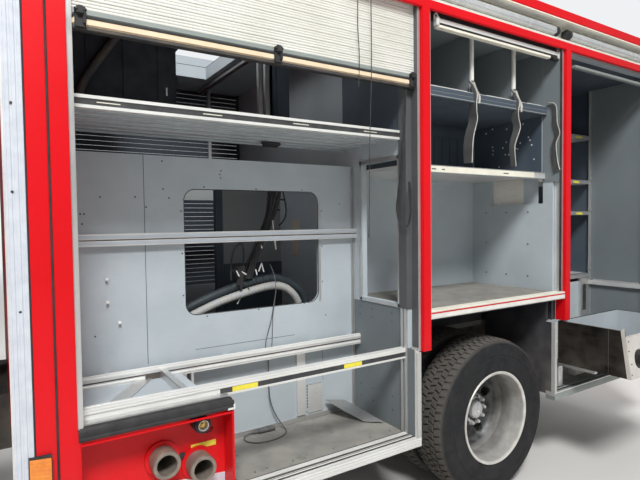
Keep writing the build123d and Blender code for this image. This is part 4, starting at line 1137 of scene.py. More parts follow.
def pierced_sheet(outer, inner, near, thick):
    """A flat sheet across Y with one hole through it."""
    shape = Shape()
    edges = []
    for outline in (outer, inner):
        verts = [shape.mesh.verts.new((x, near, z)) for x, z in outline]
        edges += [shape.mesh.edges.new((a, b)) for a, b in zip(verts, verts[1:] + verts[:1])]
    made = bmesh.ops.triangle_fill(shape.mesh, use_beauty=True, edges=edges)["geom"]
    faces = [part for part in made if isinstance(part, bmesh.types.BMFace)]
    shape.outwards(faces)
    bmesh.ops.solidify(shape.mesh, geom=faces, thickness=thick)
    low = min(abs(vert.co.y) for vert in shape.mesh.verts)
    shift = abs(near) - thick - low
    for vert in shape.mesh.verts:
        vert.co.y += shift if near > 0 else -shift
    shape.outwards()
    return shape


def rounded(u, v, radius, steps=9):
    """Corners of a rounded rectangle between limits."""
    corners = (
        (u[1] - radius, v[1] - radius, 0), (u[0] + radius, v[1] - radius, 90),
        (u[0] + radius, v[0] + radius, 180), (u[1] - radius, v[0] + radius, 270),
    )
    return [
        (
            cu + radius * cos(radians(start + 90 * k / steps)),
            cv + radius * sin(radians(start + 90 * k / steps)),
        )
        for cu, cv, start in corners
        for k in range(steps + 1)
    ]


CUT_X, CUT_Z = (-0.737, 0.108), (1.289, 1.971)
WALL_OUTLINE = [
    (-1.0095, 0.5605), (0.0835, 0.5605), (0.0835, 1.0005), (0.8945, 1.0005), (0.8945, 2.1395),
    (-1.0095, 2.1395),
]
for hand, side in HANDS:
    sheet = pierced_sheet(WALL_OUTLINE, rounded(CUT_X, CUT_Z, 0.064), side * (BACK1 + 0.0006), 0.02)
    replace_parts(piece(sheet, f"back_sheet_{hand}", material="locker_grey"), "locker_back_walls")
piece(
    slabs(
        ((-1.0095, -0.995), (BACK1, 0.6765), (0.5615, 2.138), 0.003),
        ((-0.9945, -0.986), (BACK1, 0.6715), (0.5615, 2.138), 0.002),
        ((-0.754, -0.74), (BACK1, 0.6695), (1.29, 1.885), 0.0008),
        ((-1.0085, 0.083), (BACK1, 0.6745), (0.561, 0.588), 0.002),
    ),
    "wall_profiles", material="anodised_upright",
)

wall_spots = [
    (0.52, 1.921), (0.356, 1.924), (0.303, 1.873), (0.215, 1.967), (0.185, 1.921), (0.217, 2.112),
    (-0.006, 1.984), (-0.317, 1.98), (-0.625, 1.982), (0.123, 1.853), (0.611, 1.838), (0.594, 1.838),
    (0.604, 1.79), (-0.9, 1.9), (0.56, 1.24), (0.64, 1.56), (-0.105, 2.075), (-0.098, 2.055),
    (-0.102, 2.036), (0.121, 1.627), (0.12, 1.402), (-0.009, 1.276), (-0.321, 1.281), (-0.629, 1.287),
    (-0.764, 1.855), (-0.764, 1.634), (-0.764, 1.412), (-0.786, 1.197),
]
fix(HOLE, [(x, BACK1, z) for x, z in wall_spots], "wall_holes", material="recess_dark")
peg = Shape()
peg.rod((0, 0, -0.001), (0, 0, 0.018), 0.0045, 12, 0.001)
peg.rod((0, 0, 0.013), (0, 0, 0.02), 0.0075, 12, 0.0015)
fix(part_object(peg, "peg"), [(0.503, BACK1, 1.518), (0.502, BACK1, 1.404), (0.448, BACK1, 1.298)],
    "wall_pegs", material="white_peg")
piece(
    slabs(
        ((0.3105, 0.3135), ON_BACK1, (1.062, 2.139), 0.0004),
        ((-0.56, 0.06), ON_BACK1, (1.1, 1.1025), 0.0004),
        ((-0.76, -0.7575), ON_BACK1, (0.6, 0.985), 0.0004),
        ((-1.0, -0.9975), (0.676, 0.6772), (0.562, 2.138), 0.0003),
    ),
    "wall_seams", material="locker_shade",
)
cut_rim = Shape()
rim_points = rounded(CUT_X, CUT_Z, 0.064)
for (x1, z1), (x2, z2) in zip(rim_points, rim_points[1:] + rim_points[:1]):
    cut_rim.rod((x1, BACK1 - 0.002, z1), (x2, BACK1 - 0.002, z2), 0.0032, 8)
piece(cut_rim, "cutout_rim", material="recess_dark")

piece(
    Shape().slab((-0.757, -0.626), (0.67, 0.6735), (0.612, 0.79), 0.001), "vent_plate",
    material="locker_grey",
)
repeat(
    part_object(Shape().slab((-0.056, 0.056), (-0.001, 0.0008), (-0.0056, 0.005), 0.0004), "louvre_slot"),
    8, (-0.691, 0.6738, 0.64), (0, 0, 0.0188), "vent_slots", "root", "recess_dark",
)
piece(
    Shape().slab((-1.008, 0.083), (1.152, 1.18), (0.5595, 0.567), 0.0025), "floor_trims",
    material="bright_rail",
)
floor_grooves = Shape()
for near, far in ((1.1825, 1.19), (1.204, 1.207), (1.22, 1.2225)):
    floor_grooves.slab((-1.044, 0.083), (near, far), (0.56, 0.564), 0.0006)
piece(floor_grooves, "floor_grooves", material="chassis_grey")
post_cover = Shape()
post_cover.slab((-1.046, -1.01), (1.17, 1.18), (0.5625, 1.06), 0.002)
for x in (-1.04, -1.024):
    post_cover.slab((x - 0.004, x + 0.004), (1.178, 1.184), (0.5625, 1.06), 0.002)
piece(post_cover, "post_cover", material="anodised_upright")
piece(
    slabs(
        ((0.02, 0.0235), (0.668, 1.14), (0.559, 0.5612), 0.0004),
        ((-1.008, 0.083), (1.136, 1.14), (0.559, 0.5612), 0.0004),
    ),
    "floor_seams", material="recess_dark",
)
fix(
    STUD,
    [
        (-0.084, 0.869, 0.56), (-0.085, 1.088, 0.56), (-0.153, 1.085, 0.56), (-0.3, 1.09, 0.56),
        (-0.55, 1.09, 0.56), (-0.8, 1.09, 0.56), (-0.95, 1.09, 0.56), (-0.62, 0.76, 0.56),
        (-0.87, 0.76, 0.56), (-0.12, 0.72, 0.56),
    ],
    "floor_studs", "up",
)
plate_grid = [
    [(-0.76, 0.692, 0.664), (-0.83, 0.795, 0.612), (-0.9, 0.905, 0.566)],
    [(-0.838, 0.692, 0.648), (-0.884, 0.815, 0.607), (-0.938, 0.945, 0.568)],
    [(-0.912, 0.692, 0.633), (-0.952, 0.845, 0.6), (-0.986, 0.985, 0.57)],
]
piece(Shape().sheet_of(plate_grid, -0.0025, (0, 0, 1)), "folded_plate", material="tank_alloy")

# Sills and posts of the front locker's opening
sill_outline = [
    (0.0, 0.0), (0.06, 0.0), (0.066, 0.004), (0.0705, 0.004), (0.072, 0.01), (0.0705, 0.016),
    (0.0705, 0.022), (0.0725, 0.026), (0.0705, 0.031), (0.0705, 0.038), (0.0725, 0.042), (0.0705, 0.046),
    (0.066, 0.055), (0.052, 0.057), (0.05, 0.0545), (0.034, 0.0545), (0.032, 0.057), (0.016, 0.057),
    (0.014, 0.0545), (0.0, 0.0545),
]
for hand, side in HANDS:
    y = on_side(side)
    # The rear sill takes the grey copy of the front sill's finish: painted shade.
    for label, rear, front, look in (
        ("front", -1.045, 0.084, "bright_rail"), ("rear", -3.756, -2.325, "bar_grey"),
    ):
        piece(
            Shape().run(
                sill_outline, (rear, side * 1.1805, 0.5055), (front, side * 1.1805, 0.5055), (0, side, 0),
                (0, 0, 1),
            ),
            f"fluted_sill_{label}_{hand}", material=look,
        )
    # Dark strips on the posts' side faces and edges: painted shade.
    piece(
        slabs(
            ((-2.3245, -2.3225), y(1.1785, 1.224), (0.563, 1.058), 0.0005),
            ((-2.3985, -2.397), y(1.08, 1.179), (1.059, 1.264), 0.0005),
            ((-2.437, -2.397), y(1.1802, 1.1815), (1.062, 1.264), 0.0005),
            ((-2.3458, -2.333), y(1.1802, 1.1815), (1.062, 1.264), 0.0005),
        ),
        f"post_shade_{hand}", material="dark_liner",
    )
    posts = Shape()
    ribs = [
        (0, 0), (0.0705, 0), (0.0725, 0.003), (0.0705, 0.008), (0.0705, 0.012), (0.0725, 0.017),
        (0.0705, 0.022), (0.0705, 0.028), (0.0725, 0.031), (0.0705, 0.0335), (0, 0.0335),
    ]
    posts.run(
        ribs, (-1.0465, side * 1.1805, 0.561), (-1.0465, side * 1.1805, 1.042), (0, side, 0), (1, 0, 0),
    )
    posts.run(
        [(a, b * 0.62) for a, b in ribs], (-2.3452, side * 1.1805, 0.561),
        (-2.3452, side * 1.1805, 1.058), (0, side, 0), (1, 0, 0),
    )
    piece(posts, f"fluted_posts_{hand}", material="anodised_upright")
    piece(
        Shape().slab(SILL2, y(SIDE - 0.003, SIDE + 0.0025), (1.2225, 1.2505), 0.0025),
        f"sill_band_low_{hand}", material="white_paint",
    )
    piece(
        Shape().slab(SILL2, y(SIDE - 0.003, SIDE + 0.003), (1.2505, 1.2575), 0.002), f"sill_line_{hand}",
        material="red_paint",
    )
    piece(
        Shape().slab(SILL2, y(1.183, SIDE + 0.002), (1.2575, 1.269), 0.003), f"sill_top_{hand}",
        material="cream_strip",
    )
    guides = Shape()
    for edge, low, high, foot in (
        (OPEN1[0], -0.0215, -0.0005, 1.002), (OPEN2[0], -0.0215, -0.0005, 1.27),
        (OPEN3[0], -0.0215, -0.0005, 1.062), (OPEN1[1], 0.0005, 0.0215, 1.045),
        (OPEN2[1], 0.0005, 0.0215, 1.27), (OPEN3[1], 0.0005, 0.0215, 0.562),
    ):
        for reach in (y(1.2255, 1.2345), y(1.18, 1.188)):
            guides.slab((edge + low, edge + high), reach, (foot, 3.005), 0.003)
    piece(guides, f"guide_lips_{hand}", material="anodised_upright")

# Pump niche: bulb seal, edge strip, coupling lips, valve, label and striped board
PORTS = ((0.38, 0.78), (0.224, 0.72))
VALVE = (0.216, 0, 0.906)
for hand, side in HANDS:
    y = on_side(side)
    bulb = Shape()
    bulb.rod((0.086, side * 1.226, 0.994), (0.712, side * 1.226, 0.994), 0.0185, 20, 0.006)
    lobes = [
        (0.0, 0.9635), (0.003, 0.9645), (0.0045, 0.968), (0.0045, 0.975), (0.0022, 0.979),
        (0.0045, 0.983), (0.005, 0.995), (0.0035, 1.002), (0.0, 1.004),
    ]
    bulb.run(
        lobes, (0.086, side * (SIDE + 0.0003), 0), (0.712, side * (SIDE + 0.0003), 0), (0, side, 0),
        (0, 0, 1),
    )
    piece(bulb, f"niche_bulb_{hand}", material="rubber_black")
    piece(
        Shape().slab((0.0865, 0.7115), y(SIDE + 0.0015, SIDE + 0.0034), (0.977, 0.9805), 0.0004),
        f"niche_crease_{hand}", material="recess_dark",
    )
    piece(
        slabs(
            ((0.084, 0.116), y(SIDE + 0.0005, SIDE + 0.0062), (0.961, 0.973), 0.002),
            ((0.08, 0.09), y(SIDE - 0.004, SIDE + 0.0058), (0.963, 0.986), 0.002),
        ),
        f"niche_clip_{hand}", material="bright_rail",
    )
    flange = Shape()
    for x, z in PORTS:
        flange.turned(
            [(1.1495, 0.056), (1.1495, 0.0742), (1.1612, 0.0742), (1.1612, 0.056)], (x, 0, z), 40, side,
            True,
        )
    piece(flange, f"port_flanges_{hand}", material="red_paint")
    piece(
        Shape().slab((0.086, 0.712), y(1.165, 1.206), (0.9995, 1.0125), 0.003), f"niche_strip_{hand}",
        material="anodised",
    )
    edge = Shape()
    for x in ((0.0855, 0.0955), (0.7035, 0.7125)):
        edge.slab(x, y(1.24, 1.2535), (0.508, 0.95), 0.003)
    edge.slab((0.0955, 0.7035), y(1.24, 1.2525), (0.9435, 0.9525), 0.003)
    piece(edge, f"niche_edge_{hand}", material="red_paint")
    for number, (x, z) in enumerate(PORTS, 1):
        piece(
            Shape().turned(
                [
                    (1.16, 0.0545), (1.16, 0.0575), (1.168, 0.0575), (1.172, 0.0565), (1.204, 0.0565),
                    (1.206, 0.059), (1.233, 0.059), (1.2375, 0.0565), (1.2375, 0.044), (1.22, 0.0415),
                    (1.17, 0.0415),
                ],
                (x, 0, z), 40, side,
            ),
            f"port_lip_{number}_{hand}", material="pipe_metal",
        )
    piece(
        Shape().turned(
            [
                (1.15, 0.0), (1.15, 0.037), (1.158, 0.0385), (1.2, 0.0385), (1.212, 0.037),
                (1.218, 0.033), (1.218, 0.0262), (1.2, 0.0245), (1.2, 0.0),
            ],
            VALVE, 32, side,
        ).weld(),
        f"valve_ring_{hand}", material="rubber_black",
    )
    core = Shape()
    core.rod((0.216, side * 1.199, 0.906), (0.216, side * 1.2075, 0.906), 0.015, 24, 0.002)
    core.rod((0.216, side * 1.207, 0.906), (0.216, side * 1.215, 0.906), 0.009, 6, 0.001)
    piece(core, f"valve_core_{hand}", material="brass")
    piece(
        Shape().turned(
            [
                (1.199, 0.0155), (1.199, 0.0232), (1.2225, 0.0245), (1.224, 0.0235), (1.2225, 0.02),
                (1.208, 0.0175), (1.205, 0.0155),
            ],
            VALVE, 32, side, True,
        ),
        f"valve_collar_{hand}", material="anodised",
    )
    small = Shape()
    small.slab((0.28, 0.312), y(1.15, 1.1575), (0.752, 0.782), 0.003)
    small.rod((0.296, side * 1.156, 0.767), (0.296, side * 1.1615, 0.767), 0.0085, 14, 0.001)
    small.tube(
        [
            (0.15, side * 1.153, 0.86), (0.165, side * 1.166, 0.853), (0.185, side * 1.17, 0.85),
            (0.2, side * 1.158, 0.858),
        ],
        0.003, 8,
    )
    piece(small, f"niche_switch_{hand}", material="rubber_black")
    piece(
        Shape().slab((0.136, 0.252), y(1.15, 1.1515), (0.778, 0.803), 0.0005), f"niche_label_{hand}",
        material="yellow_label",
    )
    piece(
        Shape().run(
            [(0.096, 0.56), (0.7, 0.56), (0.7, 0.7), (0.096, 0.64)] if side > 0 else [
                (0.096, 0.56), (0.096, 0.64), (0.7, 0.7), (0.7, 0.56),
            ],
            (0, side * 1.1495, 0), (0, side * 1.1535, 0), (1, 0, 0), (0, 0, 1),
        ),
        f"niche_board_{hand}", material="honeycomb_tape",
    )


# Second locker: rack and shelf edges, dividers, drilled wall, passage frame
DIVIDERS = (-1.659, -2.084)
for hand, side in HANDS:
    y = on_side(side)
    # Pale rack lips, left out beside the dividers: painted sunlight on the lips, painted shadow in the gaps.
    edges = Shape()
    for front, rear in ((-1.047, -1.565), (-1.752, -1.985), (-2.178, -2.33)):
        edges.slab((rear, front), y(1.11, 1.1335), (2.5885, 2.5945), 0.0015)
    piece(edges, f"rack_lips_{hand}", material="bright_rail")
    # Shelf and rack edges in a mid grey: painted shade.
    piece(
        slabs(
            ((-2.399, -1.047), y(1.1275, 1.1335), (2.5335, 2.541), 0.002),
            ((-2.399, -1.047), y(1.1285, 1.1325), (2.56, 2.564), 0.0015),
            ((-2.399, -1.047), y(1.1, 1.1235), (2.1165, 2.1215), 0.0015),
            ((-2.399, -1.047), y(1.1185, 1.1235), (2.0735, 2.079), 0.002),
        ),
        f"second_shelf_edges_{hand}", material="locker_mid",
    )
    piece(
        Shape().slab((-2.27, -1.048), y(1.119, 1.1228), (2.0795, 2.1165), 0.0006),
        f"second_shelf_band_{hand}", material="cream_strip",
    )
    # The rack's front bands are dark: painted shade. The brackets under the dividers are dark too.
    bands = Shape()
    bands.slab((-2.398, -1.048), y(1.1285, 1.1318), (2.5412, 2.56), 0.0005)
    bands.slab((-2.398, -1.048), y(1.1285, 1.1318), (2.564, 2.5885), 0.0005)
    for x in DIVIDERS:
        bands.slab((x - 0.011, x + 0.011), y(1.086, 1.0965), (2.5955, 2.682), 0.002)
        bands.slab((x - 0.048, x + 0.018), y(1.09, 1.1325), (2.593, 2.5975), 0.0015)
        bands.slab((x - 0.048, x + 0.018), y(1.09, 1.095), (2.593, 2.64), 0.0015)
    piece(bands, f"second_rack_band_{hand}", material="locker_shade")
    slots = Shape()
    for low, high in ((-1.3, -1.262), (-1.375, -1.35), (-1.985, -1.93)):
        slots.slab((low, high), y(1.1215, 1.1234), (2.094, 2.101), 0.0006)
    for x in DIVIDERS:
        for dx in (0.035, 0.012):
            slots.rod((x + dx, side * 1.094, 2.622), (x + dx, side * 1.0962, 2.622), 0.005, 10)
    piece(slots, f"second_shelf_slots_{hand}", material="recess_dark")
    fronts = Shape()
    for x in DIVIDERS:
        fronts.slab((x - 0.0118, x + 0.0118), y(1.08, 1.0968), (2.682, 2.984), 0.0025)
    piece(fronts, f"divider_edges_{hand}", material="white_paint")

for hand, side in HANDS:
    y = on_side(side)
    # Thin dark sheets on the second locker's walls: painted shade.
    shade = Shape()
    shade.slab((-2.3998, -2.3975), y(0.48, 1.092), (2.124, 2.53), 0.0008)
    shade.slab((-2.3985, -1.0475), y(0.4605, 0.4635), (2.114, 2.53), 0.001)
    for x in range(15):
        shade.slab((-1.13 - 0.085 * x, -1.1 - 0.085 * x), y(0.463, 0.469), (2.12, 2.44), 0.002)
    shade.slab((-2.3985, -1.0475), y(0.463, 0.476), (2.445, 2.505), 0.003)
    piece(shade, f"second_lining_{hand}", material="locker_shade")
    # Thin dark sheets on the third locker's walls and ceiling: painted shade.
    piece(
        slabs(
            ((-3.7985, -3.7965), y(0.21, 0.664), (1.27, 2.98), 0.0008),
            ((-3.7985, -2.4375), y(0.2005, 0.203), (1.27, 2.98), 0.001),
            ((-3.7985, -2.4375), y(0.204, 1.12), (2.982, 2.9845), 0.001),
        ),
        f"third_lining_{hand}", material="locker_shade",
    )

HOLE_SPOTS = [
    (0.662, 2.363), (0.668, 2.335), (0.665, 2.305), (0.76, 2.345), (0.79, 2.385), (0.782, 2.29),
    (0.813, 2.285), (0.88, 2.325), (0.895, 2.32), (0.915, 2.362), (0.87, 2.375), (0.985, 2.395),
    (0.998, 2.372), (1.012, 2.335), (1.031, 2.228), (0.939, 2.5), (0.795, 2.485), (0.662, 2.505),
    (0.6, 2.2), (0.6, 2.48), (0.725, 2.2),
]
fix(
    HOLE, [(-2.3972, y, z) for y, z in HOLE_SPOTS], "drilled_holes", "front", material="white_peg",
    size=1.25,
)
rear_screws = [(y, z) for y in (0.6, 0.98) for z in (1.36, 1.6, 1.84)] + [(0.79, 1.36), (0.79, 1.84)]
fix(SCREW, [(-2.4, y, z) for y, z in rear_screws], "second_rear_screws", "front", material="dark_screw")
for hand, side in HANDS:
    y = on_side(side)
    # Thin sheets in a darker grey on bulkheads, divider sides and ceiling: painted shade.
    lining = Shape()
    lining.slab(ON_BULK1, y(0.669, 1.126), (0.5615, 1.28), 0.0003)
    lining.slab(ON_BULK1, y(1.126, 1.238), (0.5615, 1.06), 0.0003)
    lining.slab((-2.3998, -2.398), y(0.48, 1.098), (2.6, 2.984), 0.0005)
    lining.slab((-2.3998, -2.3975), y(1.1, 1.232), (2.05, 2.984), 0.0005)
    lining.slab((-3.7998, -3.7985), y(0.676, 1.12), (0.562, 2.98), 0.0005)
    lining.slab((-2.3975, -1.048), y(0.47, 1.1), (2.9825, 2.9845), 0.0005)
    for x in DIVIDERS:
        lining.slab((x + 0.0117, x + 0.0127), y(0.47, 1.079), (2.59, 2.982), 0.0003)
    piece(lining, f"bulkhead_lining_{hand}", material="locker_dim")
    # Near-black sheets over the post beside the first locker: painted shade.
    piece(
        slabs(
            ((-1.0003, -0.9985), y(1.123, 1.185), (1.283, 2.984), 0.0004),
            ((-1.0425, -0.9985), y(1.1838, 1.1852), (1.283, 2.984), 0.0004),
            ((-1.0429, -1.0412), y(1.1845, 1.2345), (1.065, 2.984), 0.0004),
        ),
        f"first_post_cover_{hand}", material="post_grey",
    )
    piece(
        Shape().slab((BULK1 + 0.0001, BULK1 + 0.002), y(1.238, 1.2515), (0.5615, 1.06), 0.0005),
        f"post_edge_{hand}", material="bright_rail",
    )
    piece(
        Shape().slab((-2.3998, -2.397), y(1.232, 1.2485), (1.275, 2.984), 0.0005), f"guide_shade_{hand}",
        material="recess_dark",
    )
    # Dark sheets under the rack: painted shade.
    piece(
        slabs(
            ((-2.3975, -1.048), y(0.47, 1.124), (2.5275, 2.5292), 0.0004),
            ((-2.3975, -1.048), y(1.1292, 1.1328), (2.5295, 2.5335), 0.0006),
        ),
        f"rack_underside_{hand}", material="locker_shade",
    )
fix(
    HOLE, [(BULK1 + 0.0011, y, z) for y in (0.735, 0.86, 1.045) for z in (0.66, 0.74, 1.19, 1.24)],
    "bulkhead_holes", "front", material="recess_dark",
)
frame_edges = Shape()
for y in (0.741, 1.1005):
    frame_edges.slab((-1.0105, -1.0045), (y, y + 0.022), (1.283, 2.166), 0.002)
for z in (1.282, 2.1435):
    frame_edges.slab((-1.0105, -1.0045), (0.741, 1.1225), (z, z + 0.0225), 0.002)
piece(frame_edges, "passage_frame", material="anodised_upright")
inner_post = Shape()
for y in (1.128, 1.158):
    inner_post.slab((-1.0105, -1.0005), (y, y + 0.02), (0.561, 2.984), 0.002)
piece(inner_post, "bulkhead_post", material="anodised_upright")


def ribbon(line, thick=0.002, steps=6):
    """A strap through (x, y, z, width, turn) rows, with its first edge on the points."""
    rows = [
        [between(*four, step / steps) for four in zip(*stretch)]
        for stretch in with_neighbours(line) for step in range(steps)
    ]
    grid = []
    for x, y, z, width, turn in rows + [list(line[-1])]:
        over = Vector((cos(turn), -sin(turn), 0))
        bow = Vector((sin(turn), cos(turn), 0))
        grid.append(
            [
                Vector((x, y, z)) + over * (width * k / 4) + bow * (0.0015 * sin(pi * k / 4))
                for k in range(5)
            ],
        )
    return Shape().sheet_of(grid, thick, (0.75, 0.5, 0))


# x, y, z, width, turn towards the inside of the locker
STRAPS = [
    [
        (-1.63, 1.099, 2.676, 0.016, 0.5), (-1.634, 1.128, 2.64, 0.024, 0.3),
        (-1.654, 1.136, 2.59, 0.032, 0.15), (-1.648, 1.137, 2.535, 0.04, 0.35),
        (-1.648, 1.137, 2.48, 0.052, 1.15), (-1.654, 1.137, 2.424, 0.058, 1.25),
        (-1.622, 1.137, 2.33, 0.06, 1.2), (-1.612, 1.135, 2.25, 0.06, 1.15),
        (-1.615, 1.128, 2.15, 0.052, 1.05),
    ],
    [
        (-2.052, 1.099, 2.676, 0.016, 0.5), (-2.058, 1.128, 2.64, 0.024, 0.3),
        (-2.084, 1.136, 2.587, 0.032, 0.15), (-2.07, 1.137, 2.53, 0.036, 0.35),
        (-2.072, 1.137, 2.48, 0.046, 0.95), (-2.09, 1.137, 2.415, 0.046, 0.9),
        (-2.05, 1.137, 2.33, 0.04, 0.8), (-2.033, 1.135, 2.27, 0.036, 0.8),
        (-2.054, 1.13, 2.15, 0.034, 0.9),
    ],
    [
        (-2.392, 1.15, 2.612, 0.022, 1.2), (-2.388, 1.196, 2.6, 0.022, 1.2),
        (-2.388, 1.214, 2.56, 0.024, 1.25), (-2.388, 1.219, 2.463, 0.028, 1.3),
        (-2.388, 1.238, 2.384, 0.028, 1.3), (-2.388, 1.212, 2.313, 0.03, 1.3),
        (-2.388, 1.222, 2.204, 0.034, 1.3), (-2.388, 1.24, 2.13, 0.036, 1.3),
    ],
]
TAILS = [
    [
        (-1.628, 1.138, 2.66, 0.012, 0.9), (-1.646, 1.141, 2.618, 0.014, 0.9),
        (-1.676, 1.144, 2.575, 0.014, 0.9), (-1.672, 1.143, 2.53, 0.01, 0.9),
    ],
    [
        (-2.052, 1.138, 2.66, 0.012, 0.9), (-2.072, 1.141, 2.615, 0.014, 0.9),
        (-2.103, 1.144, 2.57, 0.014, 0.9), (-2.101, 1.143, 2.52, 0.01, 0.9),
    ],
]
LOOP = [
    (-0.985, 1.21, 2.518, 0.01, 1.5), (-0.985, 1.203, 2.362, 0.012, 1.5),
    (-0.985, 1.184, 2.184, 0.018, 1.5), (-0.985, 1.176, 2.089, 0.022, 1.5),
    (-0.985, 1.158, 1.96, 0.025, 1.5), (-0.985, 1.138, 1.852, 0.022, 1.5),
    (-0.985, 1.156, 1.775, 0.014, 1.5), (-0.985, 1.192, 1.746, 0.01, 1.5),
    (-0.985, 1.228, 1.77, 0.012, 1.5), (-0.985, 1.246, 1.838, 0.016, 1.5),
    (-0.985, 1.246, 1.934, 0.024, 1.5), (-0.985, 1.236, 2.003, 0.016, 1.5),
]
for number, line in enumerate(STRAPS, 1):
    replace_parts(piece(ribbon(line), f"hanging_strap_{number}", material="webbing"), "straps")
    # Pale lines along the straps' edges: painted light on their lit edges.
    piece(
        Shape().tube(curve_through([(x + 0.0015, y + 0.001, z) for x, y, z, _, _ in line], 6), 0.0032, 8),
        f"strap_edge_{number}", material="pale_webbing",
    )
for number, line in enumerate(TAILS, 1):
    piece(ribbon(line), f"strap_tail_{number}", material="pale_webbing")
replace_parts(piece(ribbon(LOOP), "black_loop", material="recess_dark"), "straps")

# Third locker: shelf noses with blank labels, posts, dark slot, sheet at the opening, pale box, cable
for hand, side in HANDS:
    y = on_side(side)
    noses = Shape()
    for top in (2.555, 2.14, 1.85, 1.262):
        noses.slab((-3.799, -2.437), y(0.664, 0.6735), (top - 0.031, top + 0.002), 0.002)
        noses.slab((-3.799, -2.437), y(0.6, 0.6735), (top - 0.0005, top + 0.004), 0.0015)
    noses.slab((-3.7995, -3.768), y(0.664, 0.6745), (1.264, 2.984), 0.003)
    for z in (1.3, 1.86, 2.15, 2.5):
        noses.slab((-3.7995, -3.75), y(0.6735, 0.68), (z, z + 0.03), 0.002)
    noses.slab((-3.7995, -3.79), y(0.7, 1.11), (1.1615, 1.215), 0.003)
    piece(noses, f"third_shelf_noses_{hand}", material="anodised")
    tags = Shape()
    for low, high, top in (
        (-3.64, -3.55, 2.549), (-3.6, -3.51, 2.134), (-3.66, -3.56, 1.844), (-3.4, -3.31, 2.549),
    ):
        tags.slab((low, high), y(0.673, 0.6742), (top - 0.021, top - 0.001), 0.0003)
    piece(tags, f"third_shelf_tags_{hand}", material="yellow_label")
    piece(
        slabs(
            ((-3.799, -3.645), y(0.664, 0.672), (0.562, 1.228), 0.002),
            ((-3.644, -3.612), y(0.664, 0.69), (0.562, 1.228), 0.003),
        ),
        f"third_low_post_{hand}", material="anodised_upright",
    )
    piece(
        Shape().slab((-3.729, -3.663), y(0.6715, 0.673), (0.925, 1.165), 0.0005),
        f"third_dark_slot_{hand}", material="recess_dark",
    )
piece(
    Shape().slab((-2.4345, -2.433), (0.6, 1.02), (1.885, 2.112), 0.0005), "opening_sheet",
    material="white_paint",
)
# The band takes the blue-grey finish: painted shade.
piece(
    Shape().slab((-2.433, -2.4322), (0.92, 1.045), (1.885, 2.112), 0.0003), "opening_band",
    material="rail_blue",
)
piece(
    slabs(
        ((-2.96, -2.81), (1.05, 1.11), (0.561, 0.64), 0.006),
        ((-2.95, -2.82), (1.108, 1.1125), (0.575, 0.625), 0.002),
    ),
    "floor_box", material="white_paint",
)
piece(
    Shape().tube(
        curve_through(
            [
                (-2.47, 1.16, 1.92), (-2.478, 1.172, 1.8), (-2.472, 1.176, 1.66), (-2.466, 1.166, 1.56),
                (-2.47, 1.15, 1.53), (-2.474, 1.14, 1.58),
            ],
        ),
        0.004, 10,
    ),
    "white_cable", material="white_peg",
)

# Behind the cut-out: ribbed hose, cable strands, and the pull wires of the first shutter

# name, places along the middle line, radius, finish, slot
HOSES = [
    (
        "ribbed_hose",
        [
            (0.26, 0.52, 1.13), (0.08, 0.525, 1.238), (-0.039, 0.53, 1.29), (-0.157, 0.53, 1.33),
            (-0.311, 0.53, 1.368), (-0.439, 0.53, 1.391), (-0.526, 0.53, 1.39), (-0.6, 0.53, 1.355),
            (-0.662, 0.53, 1.277), (-0.69, 0.53, 1.15),
        ],
        0.0225, "hose_grey", "tube_glass",
    ),
    (
        "dark_hose",
        [
            (0.26, 0.47, 1.18), (0.12, 0.485, 1.258), (0.018, 0.495, 1.312), (-0.14, 0.5, 1.37),
            (-0.325, 0.5, 1.421), (-0.47, 0.5, 1.438), (-0.555, 0.5, 1.428), (-0.645, 0.5, 1.385),
            (-0.712, 0.5, 1.32), (-0.752, 0.5, 1.2),
        ],
        0.025, "hose_dark", "tube_glass",
    ),
]
for name, points, radius, look, slot in HOSES:
    ribbed = Shape()
    hose_line = curve_through(points, 12)
    ribbed.tube(hose_line, radius, 20)
    for at, after in zip(hose_line[::2], hose_line[1::2]):
        along = (after - at).normalized() * 0.0045
        ribbed.rod(at - along, at + along, radius + 0.0028, 20, 0.0018)
    piece(ribbed, name, material=look)
clamps = Shape()
for spot, along in (
    ((-0.318, 0.524, 1.372), (-0.97, 0, 0.2)), ((-0.505, 0.522, 1.396), (-0.99, 0, -0.1)),
):
    spot, along = Vector(spot), Vector(along).normalized()
    clamps.rod(spot - along * 0.005, spot + along * 0.005, 0.0275, 20, 0.002)
    clamps.tube(
        [
            spot + Vector((0, 0, 0.02)), spot + Vector((0.01, -0.01, 0.055)),
            spot + Vector((0.015, -0.02, 0.085)),
        ],
        0.0035, 8,
    )
piece(clamps, "hose_clamps", material="rubber_black")
strands = Shape()
bundle = [
    (-0.51, 0.55, 2.12), (-0.504, 0.55, 1.968), (-0.49, 0.55, 1.885), (-0.462, 0.55, 1.8),
    (-0.4, 0.545, 1.67), (-0.345, 0.535, 1.545), (-0.315, 0.52, 1.45),
]
for sway, dy, thick in (
    (0.0, 0.0, 0.013), (0.02, 0.014, 0.01), (-0.018, 0.01, 0.011), (0.034, -0.006, 0.009),
    (-0.03, -0.01, 0.009), (0.008, 0.022, 0.008),
):
    line = [(x + sway + 0.01 * sin(7 * n + 40 * sway), y + dy, z) for n, (x, y, z) in enumerate(bundle)]
    strands.tube(curve_through(line), thick, 8)

